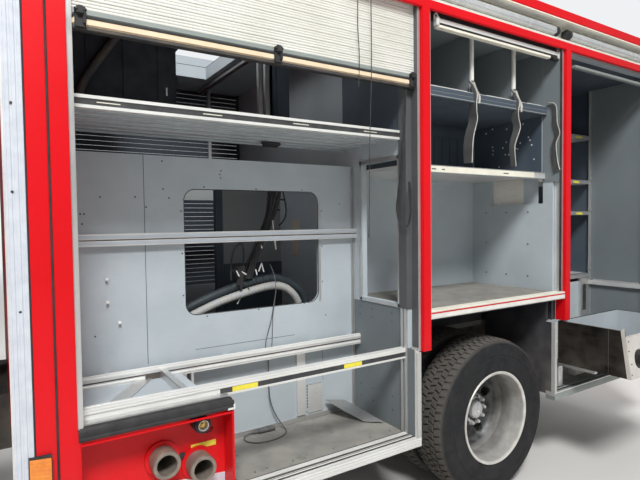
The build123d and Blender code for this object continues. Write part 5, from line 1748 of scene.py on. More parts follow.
# a standing loop, a hanging one, and leads that branch off
RINGS = [
    [
        (-0.2, 0.552, 1.45), (-0.203, 0.552, 1.545), (-0.222, 0.552, 1.625), (-0.258, 0.552, 1.662),
        (-0.282, 0.552, 1.64), (-0.28, 0.552, 1.56), (-0.262, 0.552, 1.49), (-0.24, 0.545, 1.43),
    ],
    [
        (-0.53, 0.58, 2.01), (-0.548, 0.58, 1.94), (-0.56, 0.58, 1.868), (-0.552, 0.58, 1.815),
        (-0.525, 0.58, 1.78), (-0.508, 0.58, 1.768),
    ],
    [(-0.44, 0.56, 1.925), (-0.47, 0.56, 1.94), (-0.52, 0.56, 1.93), (-0.56, 0.556, 1.925)],
    [(-0.455, 0.56, 1.86), (-0.48, 0.56, 1.868), (-0.53, 0.56, 1.862)],
    [
        (-0.475, 0.556, 1.8), (-0.44, 0.556, 1.765), (-0.405, 0.552, 1.705), (-0.392, 0.55, 1.62),
        (-0.36, 0.545, 1.54),
    ],
]
for ring in RINGS:
    strands.tube(curve_through(ring), 0.005, 8)
for n in range(7):
    a = radians(50 * n)
    strands.tube(
        [
            (-0.215 - 0.01 * n, 0.545 + 0.006 * sin(a), 1.5 - 0.012 * n),
            (-0.235 - 0.008 * n, 0.56, 1.53), (-0.262, 0.552, 1.475 - 0.014 * n), (-0.245, 0.545, 1.42),
        ],
        0.0075, 8,
    )
piece(strands, "cable_strands", material="rubber_black")
ends_shape = Shape()
for start, end in (
    ((-0.232, 0.56, 1.505), (-0.246, 0.566, 1.47)), ((-0.262, 0.56, 1.5), (-0.292, 0.566, 1.478)),
    ((-0.38, 0.552, 1.49), (-0.398, 0.556, 1.54)), ((-0.398, 0.556, 1.54), (-0.412, 0.556, 1.485)),
    ((-0.36, 0.552, 1.505), (-0.366, 0.556, 1.47)), ((-0.47, 0.57, 1.8), (-0.488, 0.574, 1.62)),
    ((-0.39, 0.56, 1.665), (-0.4, 0.562, 1.63)), ((-0.25, 0.52, 1.3), (-0.285, 0.528, 1.365)),
):
    ends_shape.rod(start, end, 0.004, 8, 0.0008)
piece(ends_shape, "pale_ends", material="white_peg")
# Mid-grey sheets on the far back wall and in the middle of the body: painted shade.
piece(
    slabs(
        ((-0.832, -0.374), (-0.02, 0.0), (1.06, 2.08), 0.004),
        ((-1.009, 0.89), (-0.6455, -0.644), (1.973, 2.139), 0.0004),
        ((0.112, 0.89), (-0.6455, -0.644), (1.002, 1.972), 0.0004),
    ),
    "inner_sheets", material="locker_mid",
)
piece(Shape().slab(ON_BULK1, (-0.64, 0.64), (1.06, 2.13), 0.0003), "inner_end", material="tape_white")
# Dark column and block inside the body: painted shade.
piece(
    slabs(
        ((-0.374, -0.316), (-0.024, 0.004), (1.06, 2.08), 0.006),
        ((-0.8, -0.24), (0.06, 0.44), (1.06, 1.14), 0.01),
        ((-0.832, -0.374), (0.0, 0.006), (1.06, 1.5), 0.003),
    ),
    "inner_column", material="locker_shade",
)
piece(
    Shape().slab((BULK1 + 0.0012, BULK1 + 0.004), (-0.146, -0.03), (1.528, 1.81), 0.001), "pale_plate",
    material="cream_strip",
)
wall_wires = Shape()
wall_wires.tube(
    curve_through(
        [
            (-0.452, 0.56, 1.53), (-0.44, 0.64, 1.47), (-0.43, 0.676, 1.386), (-0.415, 0.678, 1.308),
            (-0.395, 0.678, 1.212), (-0.357, 0.679, 1.08), (-0.362, 0.684, 0.99),
        ],
    ),
    0.0026, 8,
)
wall_wires.tube(
    curve_through(
        [
            (-0.424, 0.676, 1.33), (-0.408, 0.679, 1.25), (-0.405, 0.679, 1.21), (-0.398, 0.679, 1.074),
            (-0.383, 0.69, 1.0),
        ],
    ),
    0.0022, 8,
)
piece(wall_wires, "wall_wires", material="cable_rubber")
wires = Shape()
for line in ([(-0.643, 1.225, 2.955), (-0.64, 1.226, 2.78), (-0.648, 1.226, 2.64), (-0.646, 1.22, 2.48)],
             [(-0.728, 1.225, 2.955), (-0.727, 1.226, 2.6), (-0.72, 1.215, 2.2), (-0.712, 1.211, 1.7)]):
    wires.tube(curve_through(line), 0.0022, 8)
piece(wires, "pull_wires", material="recess_dark")

# Frames and the dark box under the roof of the first locker
upper_frames = Shape()
upper_frames.slab((-0.648, -0.628), (-1.1, 0.56), (2.945, 2.984), 0.003)
upper_frames.slab((-0.616, -0.6), (-1.1, 0.56), (2.955, 2.984), 0.003)
for x, y, low in ((-0.44, 0.575, 2.3), (-0.395, 0.575, 2.3), (-0.7, -1.1, 2.3)):
    upper_frames.slab((x - 0.012, x + 0.012), (y - 0.015, y + 0.015), (low, 2.984), 0.003)
upper_frames.slab((-1.0, 0.15), (0.562, 0.588), (2.955, 2.984), 0.003)
piece(upper_frames, "upper_frames", material="anodised")
# Dark sheets and posts under the roof of the first locker: painted shade.
shade = Shape()
shade.slab((-0.56, -0.47), (0.555, 0.64), (2.301, 2.984), 0.008)
shade.slab((-0.585, -0.47), (0.56, 0.6), (2.301, 2.984), 0.004)
shade.slab((0.13, 0.168), (0.57, 0.66), (2.301, 2.984), 0.006)
for z in (2.52, 2.7, 2.84):
    shade.slab((0.112, 0.134), (0.58, 0.65), (z, z + 0.05), 0.008)
shade.slab((-1.0095, -1.0075), (0.56, 1.12), (2.304, 2.984), 0.0008)
piece(shade, "upper_lining", material="locker_shade")
dark_box = Shape()
dark_box.slab((0.17, 0.885), (0.57, 0.8), (2.303, 2.965), 0.012)
dark_box.slab((0.2, 0.85), (0.798, 0.808), (2.34, 2.93), 0.006)
for x in (0.26, 0.42, 0.58, 0.74):
    dark_box.slab((x - 0.01, x + 0.01), (0.806, 0.814), (2.36, 2.9), 0.004)
piece(dark_box, "dark_box", material="dark_liner")
piece(
    Shape().tube(
        curve_through([(0.64, 0.83, 2.31), (0.6, 0.835, 2.43), (0.52, 0.835, 2.56), (0.44, 0.83, 2.68)]),
        0.018, 16,
    ),
    "dark_pipe", material="chassis_grey",
)
piece(
    Shape().slab((0.222, 0.229), (0.806, 0.816), (2.415, 2.455), 0.001), "pale_tab", material="white_peg",
)

# Wheels
TRACK_OUTER, TRACK_INNER = 1.0825, 0.7725
TYRE_SECTION = [
    (-0.118, 0.286), (-0.128, 0.292), (-0.1335, 0.31), (-0.136, 0.335), (-0.1374, 0.365),
    (-0.1374, 0.395), (-0.1345, 0.398), (-0.1345, 0.402), (-0.1368, 0.405), (-0.135, 0.43),
    (-0.1318, 0.452), (-0.1285, 0.468), (-0.1265, 0.4705), (-0.1265, 0.4745), (-0.1225, 0.48),
    (-0.112, 0.489), (-0.1, 0.4925), (-0.045, 0.4945), (0.045, 0.4945), (0.1, 0.4925), (0.112, 0.489),
    (0.1225, 0.48), (0.1265, 0.4745), (0.1265, 0.4705), (0.1285, 0.468), (0.1318, 0.452), (0.135, 0.43),
    (0.1368, 0.405), (0.1345, 0.402), (0.1345, 0.398), (0.1374, 0.395), (0.1374, 0.365), (0.136, 0.335),
    (0.1335, 0.31), (0.128, 0.292), (0.118, 0.286),
]


def tread_block(low, high, slant, long, shoulder=0.0):
    """A tread block between two places across the tyre, its ends slanted; x points out of the tyre."""
    shape = Shape()
    corners = []
    for y, lean in ((low, -slant), (high, slant)):
        for z in (-long / 2, long / 2):
            corners.append((y, z + lean))
    (a, b, c, d) = corners[0], corners[2], corners[3], corners[1]
    drop = {low: shoulder if low < 0 else 0.0, high: shoulder if high > 0 else 0.0}
    feet = [shape.mesh.verts.new((-0.014, y, z)) for y, z in (a, b, c, d)]
    tops = [shape.mesh.verts.new((-drop[y] if abs(y) > 0.09 else 0.0, y, z)) for y, z in (a, b, c, d)]
    shape.mesh.faces.new(tops)
    shape.mesh.faces.new(feet[::-1])
    for i in range(4):
        j = (i + 1) % 4
        shape.mesh.faces.new((feet[i], feet[j], tops[j], tops[i]))
    shape.outwards()
    rims = [e for e in shape.mesh.edges if all(v in tops for v in e.verts)]
    bmesh.ops.bevel(shape.mesh, geom=rims, offset=0.0018, segments=1, affect="EDGES")
    return part_object(shape, "tread_block")


BLOCKS = [
    # place across, slant, length, shoulder drop, turn of the row
    (-0.112, -0.072, 0.004, 0.033, 0.01, 0.0),
    (-0.064, -0.026, -0.006, 0.036, 0.0, 0.5),
    (-0.019, 0.019, 0.006, 0.036, 0.0, 0.0),
    (0.026, 0.064, -0.006, 0.036, 0.0, 0.5),
    (0.072, 0.112, 0.004, 0.033, 0.01, 0.0),
]
BLOCK_COUNT = 66


def join(objects, name, body, material):
    """One plain mesh from several."""
    whole = bmesh.new()
    for made in objects:
        whole.from_mesh(made.data)
        bpy.data.objects.remove(made)
    data = bpy.data.meshes.new(name)
    whole.to_mesh(data)
    whole.free()
    return show(data, name, body, material)


def tyre(name, body, node, axle_x, middles):
    """One tyre or twins: the turned carcass and its rows of tread blocks."""
    parts = []
    for middle in middles:
        parts.append(
            piece(
                Shape().turned(
                    [(middle + across, radius) for across, radius in TYRE_SECTION], (axle_x, 0, AXLE_Z),
                    96, 1, True,
                ),
                name + "_carcass", body, "tyre_rubber",
            ),
        )
        for low, high, slant, long, drop, turn in BLOCKS:
            part = tread_block(low, high, slant, long, drop)
            parts.append(
                circle(
                    part, BLOCK_COUNT, 0.5045, (axle_x, middle, AXLE_Z), name + "_tread", body,
                    "tyre_rubber", start=2 * pi * turn / BLOCK_COUNT,
                ),
            )
    whole = join(parts, name, body, "tyre_rubber")
    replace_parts(whole, node)


def cut_holes(shape, holes, name):
    """Cuts round holes through a turned disc and returns the mesh."""
    disc = bpy.data.objects.new(name + "_blank", shape.mesh_data(name + "_blank"))
    tools = Shape()
    for start, end, radius in holes:
        tools.rod(start, end, radius, 28)
    tool = bpy.data.objects.new(name + "_tool", tools.mesh_data(name + "_tool"))
    for made in (disc, tool):
        bpy.context.collection.objects.link(made)
    cut = disc.modifiers.new("holes", "BOOLEAN")
    cut.operation = "DIFFERENCE"
    cut.solver = "EXACT"
    cut.object = tool
    bpy.context.view_layer.update()
    data = bpy.data.meshes.new_from_object(disc.evaluated_get(bpy.context.evaluated_depsgraph_get()))
    bpy.data.objects.remove(disc)
    bpy.data.objects.remove(tool)
    return data


BARREL = [
    (-0.14, 0.2975), (-0.1365, 0.2995), (-0.131, 0.2985), (-0.13, 0.289), (-0.124, 0.285), (-0.06, 0.284),
    (-0.03, 0.276), (0.03, 0.276), (0.06, 0.284), (0.124, 0.285), (0.13, 0.289), (0.131, 0.2985),
    (0.1365, 0.2995), (0.14, 0.2975), (0.1395, 0.29), (0.133, 0.28), (0.12, 0.277), (0.062, 0.2765),
    (0.032, 0.269), (-0.032, 0.269), (-0.062, 0.2765), (-0.12, 0.277), (-0.133, 0.28), (-0.1395, 0.29),
]
REAR_DISC = [
    (0.906, 0.0), (0.95, 0.0), (0.95, 0.12), (0.956, 0.195), (0.964, 0.225), (0.985, 0.252),
    (1.01, 0.264), (1.05, 0.2705), (1.05, 0.278), (1.005, 0.2765), (0.975, 0.266), (0.948, 0.243),
    (0.93, 0.215), (0.906, 0.195),
]
FRONT_DISC = [
    (1.14, 0.0), (1.156, 0.0), (1.156, 0.19), (1.15, 0.215), (1.13, 0.245), (1.105, 0.262),
    (1.08, 0.2685), (1.08, 0.2775), (1.098, 0.2725), (1.122, 0.252), (1.138, 0.215), (1.14, 0.19),
]
REAR_HUB = [
    (0.95, 0.0), (0.95, 0.118), (1.024, 0.118), (1.03, 0.112), (1.0305, 0.06), (1.05, 0.058),
    (1.06, 0.053), (1.066, 0.042), (1.068, 0.012), (1.063, 0.008), (1.06, 0.0),
]
FRONT_HUB = [
    (1.156, 0.0), (1.156, 0.128), (1.166, 0.128), (1.17, 0.108), (1.205, 0.102), (1.218, 0.092),
    (1.226, 0.07), (1.228, 0.02), (1.224, 0.0),
]
nut = Shape()
nut.rod((0, 0, 0), (0, 0, 0.004), 0.0235, 20, 0.001)
nut.rod((0, 0, 0.003), (0, 0, 0.026), 0.0185, 6, 0.0025)
nut.rod((0, 0, 0.024), (0, 0, 0.04), 0.015, 16, 0.005)
NUT = part_object(nut, "wheel_nut")


def wheel(name, body, node, axle_x, side, middles, disc, hub, face, holes, hole_radius, hole_place, ring):
    """One rim or twins: barrels, the disc with its hand holes, the hub and ten nuts on a ring."""
    parts = []
    for middle in middles:
        parts.append(
            piece(
                Shape().turned(
                    [(middle + across, radius) for across, radius in BARREL], (axle_x, 0, AXLE_Z), 96, 1,
                    True,
                ),
                name + "_barrel", body, "wheel_silver",
            ),
        )
    blank = Shape()
    blank.turned(disc, (axle_x, 0, AXLE_Z), 96, side, True)
    blank.weld()
    cuts = []
    for hole in range(holes):
        angle = radians(360 * hole / holes + 18)
        x, z = axle_x + hole_place * cos(angle), AXLE_Z + hole_place * sin(angle)
        cuts.append(((x, side * 0.88, z), (x, side * 1.2, z), hole_radius))
    parts.append(show(cut_holes(blank, cuts, name), name + "_disc", body, "wheel_silver"))
    hub_parts = []
    root = hub[3][0]
    plate = hub[:4] + [(root, 0.0)]
    dome = [(root, 0.0), (root, hub[4][1])] + hub[4:]
    for outline, keep, group in ((plate, "_plate", parts), (dome, "_hub", hub_parts)):
        group.append(
            piece(
                Shape().turned(outline, (axle_x, 0, AXLE_Z), 64, side).weld(), name + keep, body,
                "wheel_silver",
            ),
        )
    spots = [
        (axle_x + ring * cos(radians(36 * n)), side * face, AXLE_Z + ring * sin(radians(36 * n)))
        for n in range(10)
    ]
    hub_parts.append(
        fix(
            NUT, spots, name + "_nuts", "left" if side > 0 else "right", body, "wheel_silver",
            size=max(0.7, ring / 0.1675), seed=5,
        ),
    )
    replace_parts(join(parts, name, body, "wheel_silver"), node)
    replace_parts(join(hub_parts, name + "_hub", body, "hub_silver"), node)


for hand, side in HANDS:
    twins = [side * TRACK_OUTER, side * TRACK_INNER]
    tyre(
        f"front_tyre_{hand}", f"front_wheel_{hand}", f"tyre_front_{hand}", FRONT_AXLE,
        [side * TRACK_OUTER],
    )
    tyre(f"rear_tyres_{hand}", f"rear_wheels_{hand}", f"tyres_rear_{hand}", REAR_AXLE, twins)
    wheel(
        f"front_rim_{hand}", f"front_wheel_{hand}", f"rim_front_{hand}", FRONT_AXLE, side,
        [side * TRACK_OUTER], FRONT_DISC, FRONT_HUB, 1.156, 10, 0.024, 0.225, 0.1675,
    )
    wheel(
        f"rear_rims_{hand}", f"rear_wheels_{hand}", f"rims_rear_{hand}", REAR_AXLE, side, twins,
        REAR_DISC, REAR_HUB, 1.029, 5, 0.036, 0.206, 0.09,
    )

# Drawer of the third locker: dark boards, folded plate front with hand holes, corner brackets
lean = lambda z: 1.698 - 0.043 * (z - 0.745) / 0.305
boards = Shape()
for rear, front in ((-2.4648, -2.45), (-3.25, -3.2352)):
    outline = [(1.207, 0.745), (lean(0.745) - 0.006, 0.745), (lean(1.05) - 0.006, 1.05), (1.207, 1.05)]
    boards.run(outline, (rear, 0, 0), (front, 0, 0), (0, 1, 0), (0, 0, 1))
boards.slab((-3.25, -2.45), (1.192, 1.207), (0.745, 1.05), 0.002)
boards.slab((-3.234, -2.466), (1.208, 1.69), (0.7455, 0.7595), 0.002)
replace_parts(piece(boards, "drawer_boards", "drawer_box", "film_plywood"), "drawer")
plate_hole = rounded((-3.16, -2.52), (0.8, 0.925), 0.058)
plate_outline = [(-3.249, 0.746), (-2.451, 0.746), (-2.451, 1.008), (-3.249, 1.008)]
front_plate = pierced_sheet(plate_outline, plate_hole, 1.7, 0.004)
for vert in front_plate.mesh.verts:
    vert.co.y += lean(vert.co.z) - 1.6985
front_plate.slab((-3.249, -2.451), (lean(1.008) - 0.024, lean(1.008) + 0.001), (1.006, 1.011), 0.001)
for x, way in ((-2.451, -1), (-3.249, 1)):
    leg = [
        (lean(0.746) - 0.026, 0.746), (lean(0.746) - 0.001, 0.746), (lean(1.075) - 0.002, 1.075),
        (lean(1.05) - 0.026, 1.05),
    ]
    front_plate.run(leg, (x, 0, 0), (x - way * 0.0022, 0, 0), (0, 1, 0), (0, 0, 1))
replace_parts(piece(front_plate, "drawer_front", "drawer_box", "plate_alloy"), "drawer")
drawer_bits = Shape()
for x in (-2.4488, -3.2512):
    drawer_bits.slab((x - 0.0012, x + 0.0012), (1.55, 1.553), (0.75, 1.045), 0.0004)
drawer_bits.slab((-2.464, -2.4508), (1.208, 1.63), (1.049, 1.0515), 0.0008)
piece(drawer_bits, "drawer_seams", "drawer_box", "chassis_grey")
fix(
    RIVET,
    [(-2.462 - 0.014 * (n % 2), lean(z) + 0.001, z) for n, z in enumerate((0.775, 0.84, 0.925, 0.985))],
    "drawer_rivets", "left", "drawer_box", "dark_screw", size=1.4,
)
piece(
    slabs(
        ((-3.2352, -3.2335), (1.208, 1.64), (0.761, 1.0495), 0.0006),
        ((-3.2335, -2.466), (1.207, 1.2088), (0.761, 1.0495), 0.0006),
    ),
    "drawer_liner", "drawer_box", "locker_grey",
)

# Tube lights in the roof edge: ribbed tubes, end caps and clamps
for hand, side in HANDS:
    y = on_side(side)
    caps = Shape()
    tubes = Shape()
    for front, rear in ((0.77, -0.76), (-0.87, -2.398), (-2.507, -3.785)):
        outline = []
        for step in range(24):
            angle = 2 * pi * step / 24
            radius = 0.0315 if step % 4 else 0.0285
            outline.append((radius * cos(angle), radius * sin(angle)))
        tubes.run(
            outline, (rear + 0.03, side * 1.204, 3.097), (front - 0.03, side * 1.204, 3.097),
            (0, side, 0), (0, 0, 1),
        )
        for x in (rear, front - 0.04):
            caps.rod((x, side * 1.204, 3.097), (x + 0.04, side * 1.204, 3.097), 0.0345, 24, 0.004)
            caps.slab((x + 0.006, x + 0.034), y(1.166, 1.2), (3.064, 3.13), 0.005)
            caps.slab((x + 0.008, x + 0.032), y(1.2, 1.2385), (3.088, 3.106), 0.004)
    made = piece(tubes, f"light_tubes_{hand}", material="tube_glass")
    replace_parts(made, "area_lights")
    piece(caps, f"light_caps_{hand}", material="rubber_black")
    strips = Shape()
    for z in (3.026, 3.1625):
        strips.slab((-3.799, 0.783), y(1.226, 1.251), (z, z + 0.0085), 0.002)
        strips.slab((-3.799, 0.783), y(1.17, 1.18), (z - 0.002, z + 0.01), 0.002)
    piece(strips, f"light_strips_{hand}", material="cream_strip")


# Crew cab: the surfaces that its trims lie on
CAB_HALVES = [(0.95, 1.175), (1.75, 1.175), (2.56, 1.135), (2.78, 1.09), (2.86, 0.98)]
CAB_NOSES = [(0.95, 3.85), (1.75, 3.85), (2.56, 3.73), (2.78, 3.66), (2.86, 3.52)]
CAB_TAIL = 1.06
DOORS = [
    # name, rear edge, front edge, window's rear edge, window's front edge
    ("front", 2.755, 3.64, 2.83, 3.56),
    ("rear", 1.705, 2.655, 1.79, 2.58),
]
DOOR_Z = (1.16, 2.6)
WINDOW_Z = (1.72, 2.48)
TRIM_STEPS = 6


def on_table(table, z):
    """Value at a height, and how it changes there."""
    for (low, first), (high, second) in zip(table, table[1:]):
        if z <= high or high == table[-1][0]:
            slope = (second - first) / (high - low)
            return first + slope * (z - low), slope


def side_face(side):
    """Gives places on the cab's side, by x, height and distance outwards."""
    def spot(x, z, out=0.0):
        half, slope = on_table(CAB_HALVES, z)
        normal = Vector((0, side, -slope)).normalized()
        return Vector((x, side * half, z)) + normal * out
    return spot


def nose_face(y, z, out=0.0):
    """A place on the cab's nose."""
    nose, slope = on_table(CAB_NOSES, z)
    return Vector((nose, y, z)) + Vector((1, 0, -slope)).normalized() * out


def tail_face(y, z, out=0.0):
    """A place on the cab's rear wall."""
    return Vector((CAB_TAIL - out, y, z))


def band(shape, spot, u, v, radius, wide, low, high):
    """A raised frame that lies on a surface, between two depths."""
    rings = []
    for inset, depth in ((0, low), (0.2 * wide, high), (0.75 * wide, high), (wide, low)):
        inside = max(radius - inset, 0.003)
        outline = rounded((u[0] + inset, u[1] - inset), (v[0] + inset, v[1] - inset), inside, TRIM_STEPS)
        rings.append([shape.mesh.verts.new(spot(a, b, depth)) for a, b in outline])
    faces = []
    for one, two in zip(rings, rings[1:] + rings[:1]):
        for k in range(len(one)):
            n = (k + 1) % len(one)
            faces.append(shape.mesh.faces.new((one[k], one[n], two[n], two[k])))
    shape.outwards(faces)


for hand, side in HANDS:
    face = side_face(side)
    y = on_side(side)
    for name, rear, front, window_rear, window_front in DOORS:
        body = f"{name}_door_{hand}"
        rubber = Shape()
        band(
            rubber, face, (window_rear - 0.03, window_front + 0.03),
            (WINDOW_Z[0] - 0.03, WINDOW_Z[1] + 0.03), 0.07, 0.052, -0.022, 0.005,
        )
        piece(rubber, f"{name}_window_rubber_{hand}", body, "rubber_black")
        grip = Shape()
        band(grip, face, (rear + 0.055, rear + 0.235), (1.455, 1.55), 0.03, 0.012, -0.002, 0.006)
        grip.slab((rear + 0.062, rear + 0.228), y(1.1745, 1.1775), (1.46, 1.545), 0.001)
        grip.slab((rear + 0.07, rear + 0.205), y(1.18, 1.196), (1.492, 1.518), 0.007)
        grip.slab((rear + 0.07, rear + 0.092), y(1.175, 1.19), (1.494, 1.516), 0.004)
        grip.slab((rear + 0.183, rear + 0.205), y(1.175, 1.19), (1.494, 1.516), 0.004)
        piece(grip, f"{name}_handle_{hand}", body, "rubber_black")
        core = Shape()
        core.rod(
            (rear + 0.145, side * 1.174, 1.42), (rear + 0.145, side * 1.1795, 1.42), 0.012, 20, 0.0015,
        )
        core.slab((rear + 0.1435, rear + 0.1465), y(1.179, 1.1805), (1.414, 1.426), 0.0005)
        piece(core, f"{name}_lock_{hand}", body, "zinc_screw")
        hinges = Shape()
        for z in (1.3, 1.62, 2.3):
            hinges.rod(
                (front + 0.005, side * 1.18, z - 0.045), (front + 0.005, side * 1.18, z + 0.045), 0.0095,
                16, 0.002,
            )
            hinges.slab(
                (front - 0.06, front + 0.002), y(1.1735 if z < 1.75 else 1.14, 1.182),
                (z - 0.03, z + 0.03), 0.003,
            )
        piece(hinges, f"{name}_hinges_{hand}", body, "rubber_black")
        seal = Shape()
        band(
            seal, face, (rear - 0.02, front + 0.02), (DOOR_Z[0] - 0.02, DOOR_Z[1] + 0.02), 0.02, 0.036,
            -0.062, -0.053,
        )
        piece(seal, f"{name}_door_seal_{hand}", "cab", "rubber_black")
    grabs = Shape()
    for x, low, high in ((2.705, 1.26, 1.7), (1.655, 1.26, 1.7)):
        grabs.rod((x, side * 1.212, low), (x, side * 1.212, high), 0.015, 20, 0.006)
        for z in (low + 0.02, high - 0.02):
            grabs.rod((x, side * 1.172, z), (x, side * 1.212, z), 0.0125, 16)
            grabs.rod((x, side * 1.173, z), (x, side * 1.18, z), 0.023, 20, 0.002)
    piece(grabs, f"grab_bars_{hand}", "cab", "rubber_black")
    rubber = Shape()
    band(rubber, face, (1.16, 1.64), (WINDOW_Z[0] - 0.03, WINDOW_Z[1] + 0.03), 0.06, 0.052, -0.022, 0.005)
    piece(rubber, f"quarter_rubber_{hand}", "cab", "rubber_black")
    flare = Shape()
    rows = []
    for radius, out in (
        (0.668, 1.14), (0.668, 1.188), (0.674, 1.197), (0.7, 1.197), (0.712, 1.188), (0.716, 1.172),
    ):
        rows.append(
            [
                (FRONT_AXLE + radius * cos(radians(a)), side * out, AXLE_Z + radius * sin(radians(a)))
                for a in range(42, 139, 4)
            ],
        )
    flare.sheet_of(rows, 0.004, (0, side, 0))
    piece(flare, f"arch_flare_{hand}", "cab", "rubber_black")
    piece(
        Shape().tube([face(x, 2.64, 0.006) for x in (1.24, 1.8, 2.4, 3.0, 3.56)], 0.011, 10),
        f"roof_gutter_{hand}", "cab", "rubber_black",
    )
    housing = Shape()
    housing.slab((3.7065, 3.7685), y(1.2575, 1.438), (1.872, 2.428), 0.026)
    for z in (1.92, 2.38):
        housing.rod((3.69, side * 1.12, z), (3.735, side * 1.3, z), 0.0135, 16, 0.002)
        housing.rod((3.712, side * 1.208, z), (3.719, side * 1.236, z), 0.019, 16, 0.003)
    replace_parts(piece(housing, f"mirror_housing_{hand}", "cab", "black_plastic"), "mirrors")
    piece(
        slabs(
            ((3.701, 3.7075), y(1.275, 1.421), (2.045, 2.408), 0.003),
            ((3.701, 3.7075), y(1.275, 1.421), (1.892, 2.02), 0.003),
        ),
        f"mirror_plates_{hand}", "cab", "mirror_glass",
    )

nose = Shape()
band(nose, nose_face, (-1.03, 1.03), (1.67, 2.51), 0.09, 0.062, -0.022, 0.006)
piece(nose, "windscreen_rubber", "cab", "rubber_black")
rear_rubber = Shape()
band(rear_rubber, tail_face, (-0.68, 0.68), (1.82, 2.43), 0.07, 0.052, -0.022, 0.005)
piece(rear_rubber, "rear_window_rubber", "cab", "rubber_black")
wipers = Shape()
for foot, tip in ((0.62, 0.08), (-0.08, -0.62)):
    pivot = nose_face(foot, 1.69, 0.016)
    wipers.rod(nose_face(foot, 1.69, 0.0), pivot, 0.017, 18, 0.004)
    elbow = nose_face((foot + tip) / 2 + 0.05, 1.9, 0.024)
    head = nose_face(tip, 2.06, 0.018)
    wipers.tube(curve_through([pivot, elbow, head]), 0.0065, 8)
    along = (nose_face(tip + 0.2, 2.3, 0.01) - nose_face(tip - 0.14, 1.8, 0.01)).normalized()
    middle = nose_face(tip, 2.05, 0.0105)
    wipers.run(
        [(-0.003, -0.006), (0.003, -0.006), (0.002, 0.009), (-0.002, 0.009)], middle - along * 0.3,
        middle + along * 0.3, along.cross(Vector((1, 0, 0.15))).normalized(), (1, 0, 0.15),
    )
piece(wipers, "wipers", "cab", "rubber_black")
ribs = Shape()
for row in range(6):
    low = 1.0 + 0.08 * row
    ribs.slab((3.8625, 3.872), (-0.0035, 0.0035), (low + 0.001, low + 0.044), 0.001)
repeat(
    part_object(ribs, "grille_ribs"), 60, (0, -0.7493, 0), (0, 0.0254, 0), "grille_mesh", "cab",
    "recess_dark",
)
bars = Shape()
for row in range(7):
    low = 0.9735 + 0.08 * row
    bars.slab((3.879, 3.8875), (-0.765, 0.765), (low - 0.001, low + 0.019), 0.004)
piece(bars, "grille_bars", "cab", "anodised")
markers = Shape()
for y0 in (0.86, -0.86):
    markers.slab((3.88, 3.896), (y0 - 0.05, y0 + 0.05), (1.44, 1.5), 0.006)
piece(markers, "front_blinkers", "cab", "blue_lens")
piece(
    slabs(
        ((3.879, 3.8806), (-0.998, 0.998), (0.93, 0.934), 0.0005),
        ((3.879, 3.8806), (-0.998, 0.998), (1.518, 1.522), 0.0005),
    ),
    "panel_lines", "cab", "recess_dark",
)

# Light bar: base, blue ends with ribs, pale middle
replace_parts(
    piece(
        Shape().slab((3.232, 3.428), (-0.756, 0.756), (2.8605, 2.886), 0.008), "beacon_base", "cab",
        "black_plastic",
    ),
    "beacons",
)
domes = Shape()
for low, high in ((0.13, 0.752), (-0.752, -0.13)):
    domes.slab((3.238, 3.422), (low, high), (2.885, 2.9835), 0.028)
piece(domes, "beacon_domes", "cab", "blue_lens")
middle = Shape()
middle.slab((3.238, 3.422), (-0.128, 0.128), (2.885, 2.97), 0.018)
piece(middle, "beacon_middle", "cab", "white_peg")
BEACON_RIB = part_object(
    Shape().slab((3.2362, 3.4238), (-0.002, 0.002), (2.895, 2.97), 0.0008), "beacon_rib",
)
for hand, start in (("left", 0.16), ("right", -0.722)):
    repeat(BEACON_RIB, 20, (0, start, 0), (0, 0.0296, 0), f"beacon_ribs_{hand}", "cab", "blue_lens")

# Lamps: headlamps, amber corner lamps, rear clusters
for hand, side in HANDS:
    y = on_side(side)
    bowl = Shape()
    for place in (0.838, 0.962):
        bowl.rod(
            (3.863, side * place, 0.625), (3.887, side * place, 0.625), 0.026, 28, 0, radius_end=0.055,
        )
    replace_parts(piece(bowl, f"headlamp_bowls_{hand}", material="mirror_glass"), "lamps")
    piece(
        slabs(
            ((3.8605, 3.87), y(0.7745, 1.0255), (0.5645, 0.6855), 0.003),
            ((3.869, 3.886), y(0.896, 0.904), (0.566, 0.684), 0.002),
        ),
        f"headlamp_shell_{hand}", material="black_plastic",
    )
    piece(
        Shape().slab((3.887, 3.8938), y(0.7745, 1.0255), (0.5645, 0.6855), 0.003),
        f"headlamp_cover_{hand}", material="clear_lens",
    )
    amber = Shape()
    amber.run(
        [(0.806, 0.0), (0.874, 0.0), (0.874, 0.01), (0.806, 0.0285)], (0, side * SIDE, 0.806),
        (0, side * SIDE, 0.943), (1, 0, 0), (0, side, 0),
    )
    for step in range(9):
        z = 0.818 + 0.014 * step
        amber.run(
            [(0.808, 0.02), (0.872, 0.002), (0.872, 0.0115), (0.808, 0.0298)], (0, side * SIDE, z),
            (0, side * SIDE, z + 0.0045), (1, 0, 0), (0, side, 0),
        )
    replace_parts(piece(amber, f"corner_lamp_{hand}", material="lamp_lens"), "lamps")
    piece(
        Shape().slab((-3.887, -3.8795), y(0.9, 1.12), (0.53, 0.61), 0.003), f"rear_lamp_tray_{hand}",
        material="black_plastic",
    )
    for name, low, high, look, slot in (
        ("amber", 1.052, 1.114, "lamp_lens", "lamp_lens"), ("red", 0.968, 1.046, "red_lens", "lamp_lens"),
        ("white", 0.906, 0.962, "clear_lens", "tube_glass"),
    ):
        lens = Shape()
        lens.slab((-3.8955, -3.886), y(low, high), (0.537, 0.603), 0.004)
        for step in range(6):
            z = 0.545 + 0.0095 * step
            lens.slab((-3.8968, -3.894), y(low + 0.006, high - 0.006), (z, z + 0.0035), 0.0008)
        piece(lens, f"rear_lens_{name}_{hand}", material=look)

